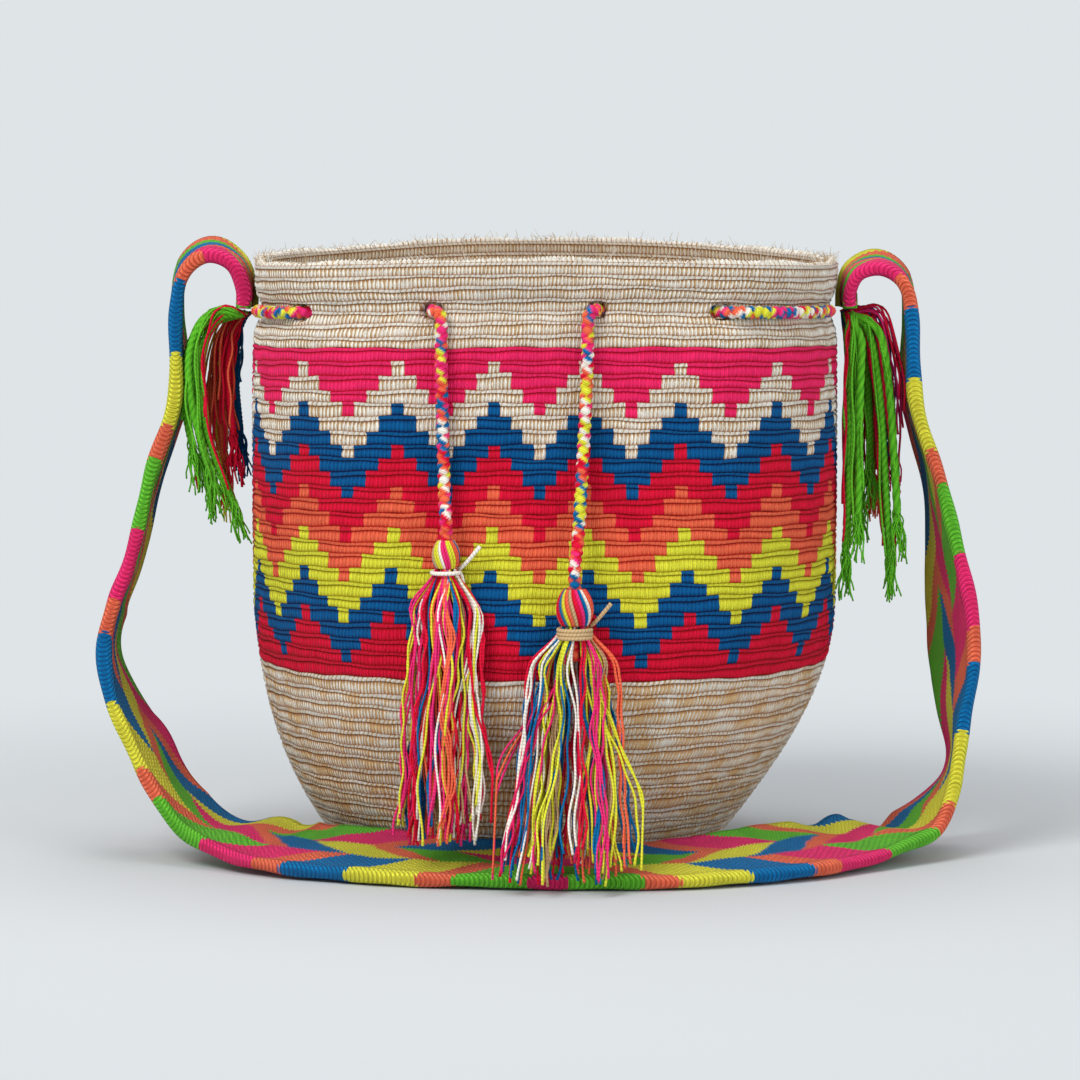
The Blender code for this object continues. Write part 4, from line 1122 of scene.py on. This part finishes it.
def makeLoose(name, path, colour, slotName, seed):
    # yarns that follow the rope at a growing distance, end early or late, and wave a little.
    # The last part of a late one hangs straight down.
    luck = np.random.default_rng(seed)
    count, rows = ropeSet["looseYarns"], 22
    t = np.linspace(0, 1, rows)
    reach = luck.uniform(0.55, 1.0, count)[:, None] * t[None]
    at = reach * (len(path) - 1)
    whole = np.minimum(at.astype(int), len(path) - 2)
    part = (at - whole)[..., None]
    paths = path[whole] * (1 - part) + path[whole + 1] * part
    tail = luck.uniform(0.0, ropeSet["looseTail"], (count, 1)) * smoothStep(0.5, 1.0, t)[None]
    angle = luck.uniform(0, 2 * np.pi, (count, 1))
    apart = 0.0022 + luck.uniform(0.001, 0.0058, (count, 1)) * smoothStep(0.0, 0.8, t)[None]
    wave = 0.0007 * np.sin(luck.uniform(8, 20, (count, 1)) * t[None] + luck.uniform(0, 6, (count, 1)))
    side = 1.0 if path[len(path) // 2, 0] > 0 else -1.0
    paths[..., 0] += side * np.maximum(np.cos(angle) * apart, -0.0024) + wave
    paths[..., 1] += np.sin(angle) * apart + wave
    lift = luck.uniform(0.0, ropeSet["looseLift"], (count, 1)) * np.sin(np.pi * np.clip(reach / 0.42, 0, 1))
    paths[..., 2] += lift - tail
    tints = np.array([ropeTint(c) for c in ropeSet["looseColours"][colour]])
    picked = tints[luck.integers(0, len(tints), count)]
    places = tubePlaces(paths, ropeSet["looseRadius"], 4, (0, 1, 0.1))
    return makePiece(name, places, frayFinish, "bag", slotName, (), along=reach * 0.1,
                     colours=picked[:, None, None])


def makeTwist(name, path, tint, slotName, replaced=()):
    # plies wind round the rope: radius * (1 - depth + depth * |cos(plies * (turn - along / twist))|)
    along = runLength(path)
    turn = np.arange(ropeSet["sides"]) / ropeSet["sides"]
    wound = ropeSet["plies"] * (turn[None] + along[:, None] / ropeSet["twist"])
    ply = np.abs(np.cos(np.pi * wound)) ** 0.8
    radii = ropeSet["diameter"] / 2 * (0.76 + 0.26 * ply)
    radii[-1] *= 0.8
    # rise follows the plies: painted shade between them
    return makePiece(name, tubePlaces(path, radii, ropeSet["sides"], (0, 1, 0)), ropeFinish, "bag", slotName,
                     replaced, along=along, colours=tint, rise=0.2 + 0.8 * ply)


def makeFray(name, path, tint, slotName, seed):
    # the yarns fan out from the rope's end, go on a little and then hang
    luck = np.random.default_rng(seed)
    count, rows = ropeSet["frayYarns"], 9
    t = np.linspace(0, 1, rows)[None, :, None]
    drop = unit(path[-1] - path[-4])
    length = luck.uniform(*ropeSet["frayLength"], (count, 1, 1))
    angle = luck.uniform(0, 2 * np.pi, count)
    spread = np.stack([np.cos(angle), np.sin(angle), 0 * angle], -1) * luck.uniform(0.2, 1, (count, 1))
    paths = (path[-3] + drop * length * t * 0.7 + np.array([0, 0, -1]) * length * t ** 2 * 0.3
             + spread[:, None] * (ropeSet["diameter"] * 0.36 + 0.0036 * t ** 1.5))
    paths[..., 0] += 0.0008 * np.sin(9 * t[..., 0] + luck.uniform(0, 6, (count, 1)))
    places = tubePlaces(paths, ropeSet["frayRadius"], 4, (0, 1, 0.1))
    return makePiece(name, places, frayFinish, "bag", slotName, (), along=length[:, 0] * t[0, :, 0],
                     colours=(tint * luck.uniform(0.75, 1.15, (count, 1)))[:, None, None])


def makeRope(side, name, colour, node, route, seed):
    path = evenly(curveThrough(route, 16), 90)
    tint, slotName = ropeTint(colour), f"{colour}_yarn"
    rope = makeTwist(name, path, tint, slotName, (node,))
    pieces = [makeFray(name + "Fray", path, tint, slotName, seed),
              makeLoose(name + "Loose", path, colour, slotName, seed + 30)]
    if colour in ropeSet["doubled"]:
        # a second rope beside the first, a little shorter and further out
        second = evenly(path[:78], 66)
        apart = smoothStep(0.0, 0.18, np.linspace(0, 1, len(second)))[:, None]
        second = second + apart * np.array(ropeSet["apart"]) * (side, 1.0, 1.0)
        pieces += [makeTwist(name + "Second", second, tint, slotName),
                   makeFray(name + "SecondFray", second, tint, slotName, seed + 60)]


def makeFringe(side, word, ropes):
    lane = strapSet["width"] / ropeSet["lane"]
    counts = {}
    for colour, number, *points in ropes:
        counts[colour] = counts.get(colour, 0) + 1
        out, drop, forward = np.array([ropeSet["start"], *points]).T
        depth = strapSet["width"] / 2 - number * lane + forward * 0.001
        route = np.stack([sewnPlane(side) + side * out, -depth, strapSet["endHeight"] - drop], -1)
        tag = f"{word}Rope{colour.capitalize()}{counts[colour]}"
        makeRope(side, tag, colour, f"{word}_rope_{colour}_{counts[colour]}", route, 40 + number)


def makeSeam(side, word):
    # a zigzag of yarn over the strap's sewn end
    steps = np.arange(9)
    y = strapSet["width"] * 0.46 * (steps / 8 - 0.5)
    z = strapSet["endHeight"] + np.where(steps % 2, 0.0070, 0.0022)
    x = np.full(9, sewnPlane(side) + side * (strapSet["thickness"] / 2 + 0.0014))
    path = curveThrough(np.stack([x, y, z], -1), 6)
    places = tubePlaces(path, 0.0008, 8, (1, 0, 0))
    return makePiece(word + "Seam", places, tieFinish, "bag", "white_yarn", (word + "_seam_yarn",),
                     along=runLength(path), colours=np.array(yarnColours["green"]) * 0.5)


for side, word, ropes in ((-1, "left", leftRopes), (1, "right", rightRopes)):
    makeFringe(side, word, ropes)
    makeSeam(side, word)
print("fringes done")


# Stage: a pale floor that curves up behind, and soft light
stageSet = {"backdrop": (0.735, 0.775, 0.80), "floor": (0.54, 0.568, 0.59), "worldStrength": 0.62}


def makeStage():
    # straight floor, a quarter turn and a wall, all one sheet
    turn = np.linspace(0, np.pi / 2, 24)
    back, bend = 2.8, 0.9
    y = np.concatenate([[-4.0, -1.0, 0.0, 1.0], back + bend * np.sin(turn), [back + bend]])
    z = np.concatenate([[0.0] * 4, bend * (1 - np.cos(turn)), [4.5]])
    x = np.linspace(-5, 5, 9)
    places = np.stack(np.broadcast_arrays(x, y[:, None], z[:, None]), -1).reshape(-1, 3)
    row, col = np.meshgrid(np.arange(len(y) - 1), np.arange(8), indexing="ij")
    faces = np.stack([row * 9 + col, row * 9 + col + 1, (row + 1) * 9 + col + 1, (row + 1) * 9 + col], -1)
    mesh = bpy.data.meshes.new("studioFloor")
    mesh.from_pydata(places, [], faces.reshape(-1, 4).tolist())
    mesh.polygons.foreach_set("use_smooth", np.ones(len(mesh.polygons), bool))
    material = bpy.data.materials.new("studioPaper")
    material.use_nodes = True
    tree = material.node_tree
    shader = tree.nodes["Principled BSDF"]
    shader.inputs["Base Color"].default_value = (*stageSet["floor"], 1.0)
    shader.inputs["Roughness"].default_value = 0.9
    glow = addNode(tree, "Emission")
    glow.inputs["Color"].default_value = (*stageSet["backdrop"], 1.0)
    far = addNode(tree, "VectorMath", operation="LENGTH")
    feed(tree, addNode(tree, "TexCoord").outputs["Object"], far.inputs[0])
    away = rescale(tree, far.outputs["Value"], 0.24, 0.75, smooth=True)
    rays = addNode(tree, "LightPath")
    seen = calc(tree, "MAXIMUM", rays.outputs["Is Glossy Ray"], rays.outputs["Is Transmission Ray"])
    seen = calc(tree, "MAXIMUM", rays.outputs["Is Camera Ray"], seen)
    mixed = addNode(tree, "MixShader")
    for value, socket in zip((seen * away, shader.outputs[0], glow.outputs[0]), mixed.inputs):
        feed(tree, value, socket)
    feed(tree, mixed.outputs[0], tree.nodes["Material Output"].inputs["Surface"])
    mesh.materials.append(material)
    floor = bpy.data.objects.new("studioFloor", mesh)
    scene.collection.objects.link(floor)


def addLamp(name, place, target, size, power, colour=(1.0, 1.0, 1.0)):
    lamp = bpy.data.lights.new(name, "AREA")
    lamp.shape = "DISK"
    lamp.size = size
    lamp.energy = power
    lamp.color = colour
    item = bpy.data.objects.new(name, lamp)
    item.location = place
    aim = np.array(target) - np.array(place)
    item.visible_camera = False
    down = math.acos(-aim[2] / np.linalg.norm(aim))
    item.rotation_euler = (down, 0.0, math.atan2(aim[1], aim[0]) - math.pi / 2)
    scene.collection.objects.link(item)


world = bpy.data.worlds.new("studioAir")
world.use_nodes = True
world.node_tree.nodes["Background"].inputs["Color"].default_value = (0.96, 0.98, 1.0, 1.0)
world.node_tree.nodes["Background"].inputs["Strength"].default_value = stageSet["worldStrength"]
scene.world = world
makeStage()
addLamp("softKey", (-1.1, -1.5, 1.9), (0.0, 0.0, 0.12), 1.3, 41.0, (1.0, 0.985, 0.96))
addLamp("softFill", (1.6, -1.7, 1.0), (0.0, 0.0, 0.12), 1.6, 15.0)
addLamp("softTop", (0.1, 0.5, 2.1), (0.0, 0.0, 0.15), 1.4, 14.0)
print("stage done, triangles in all", made["triangles"])
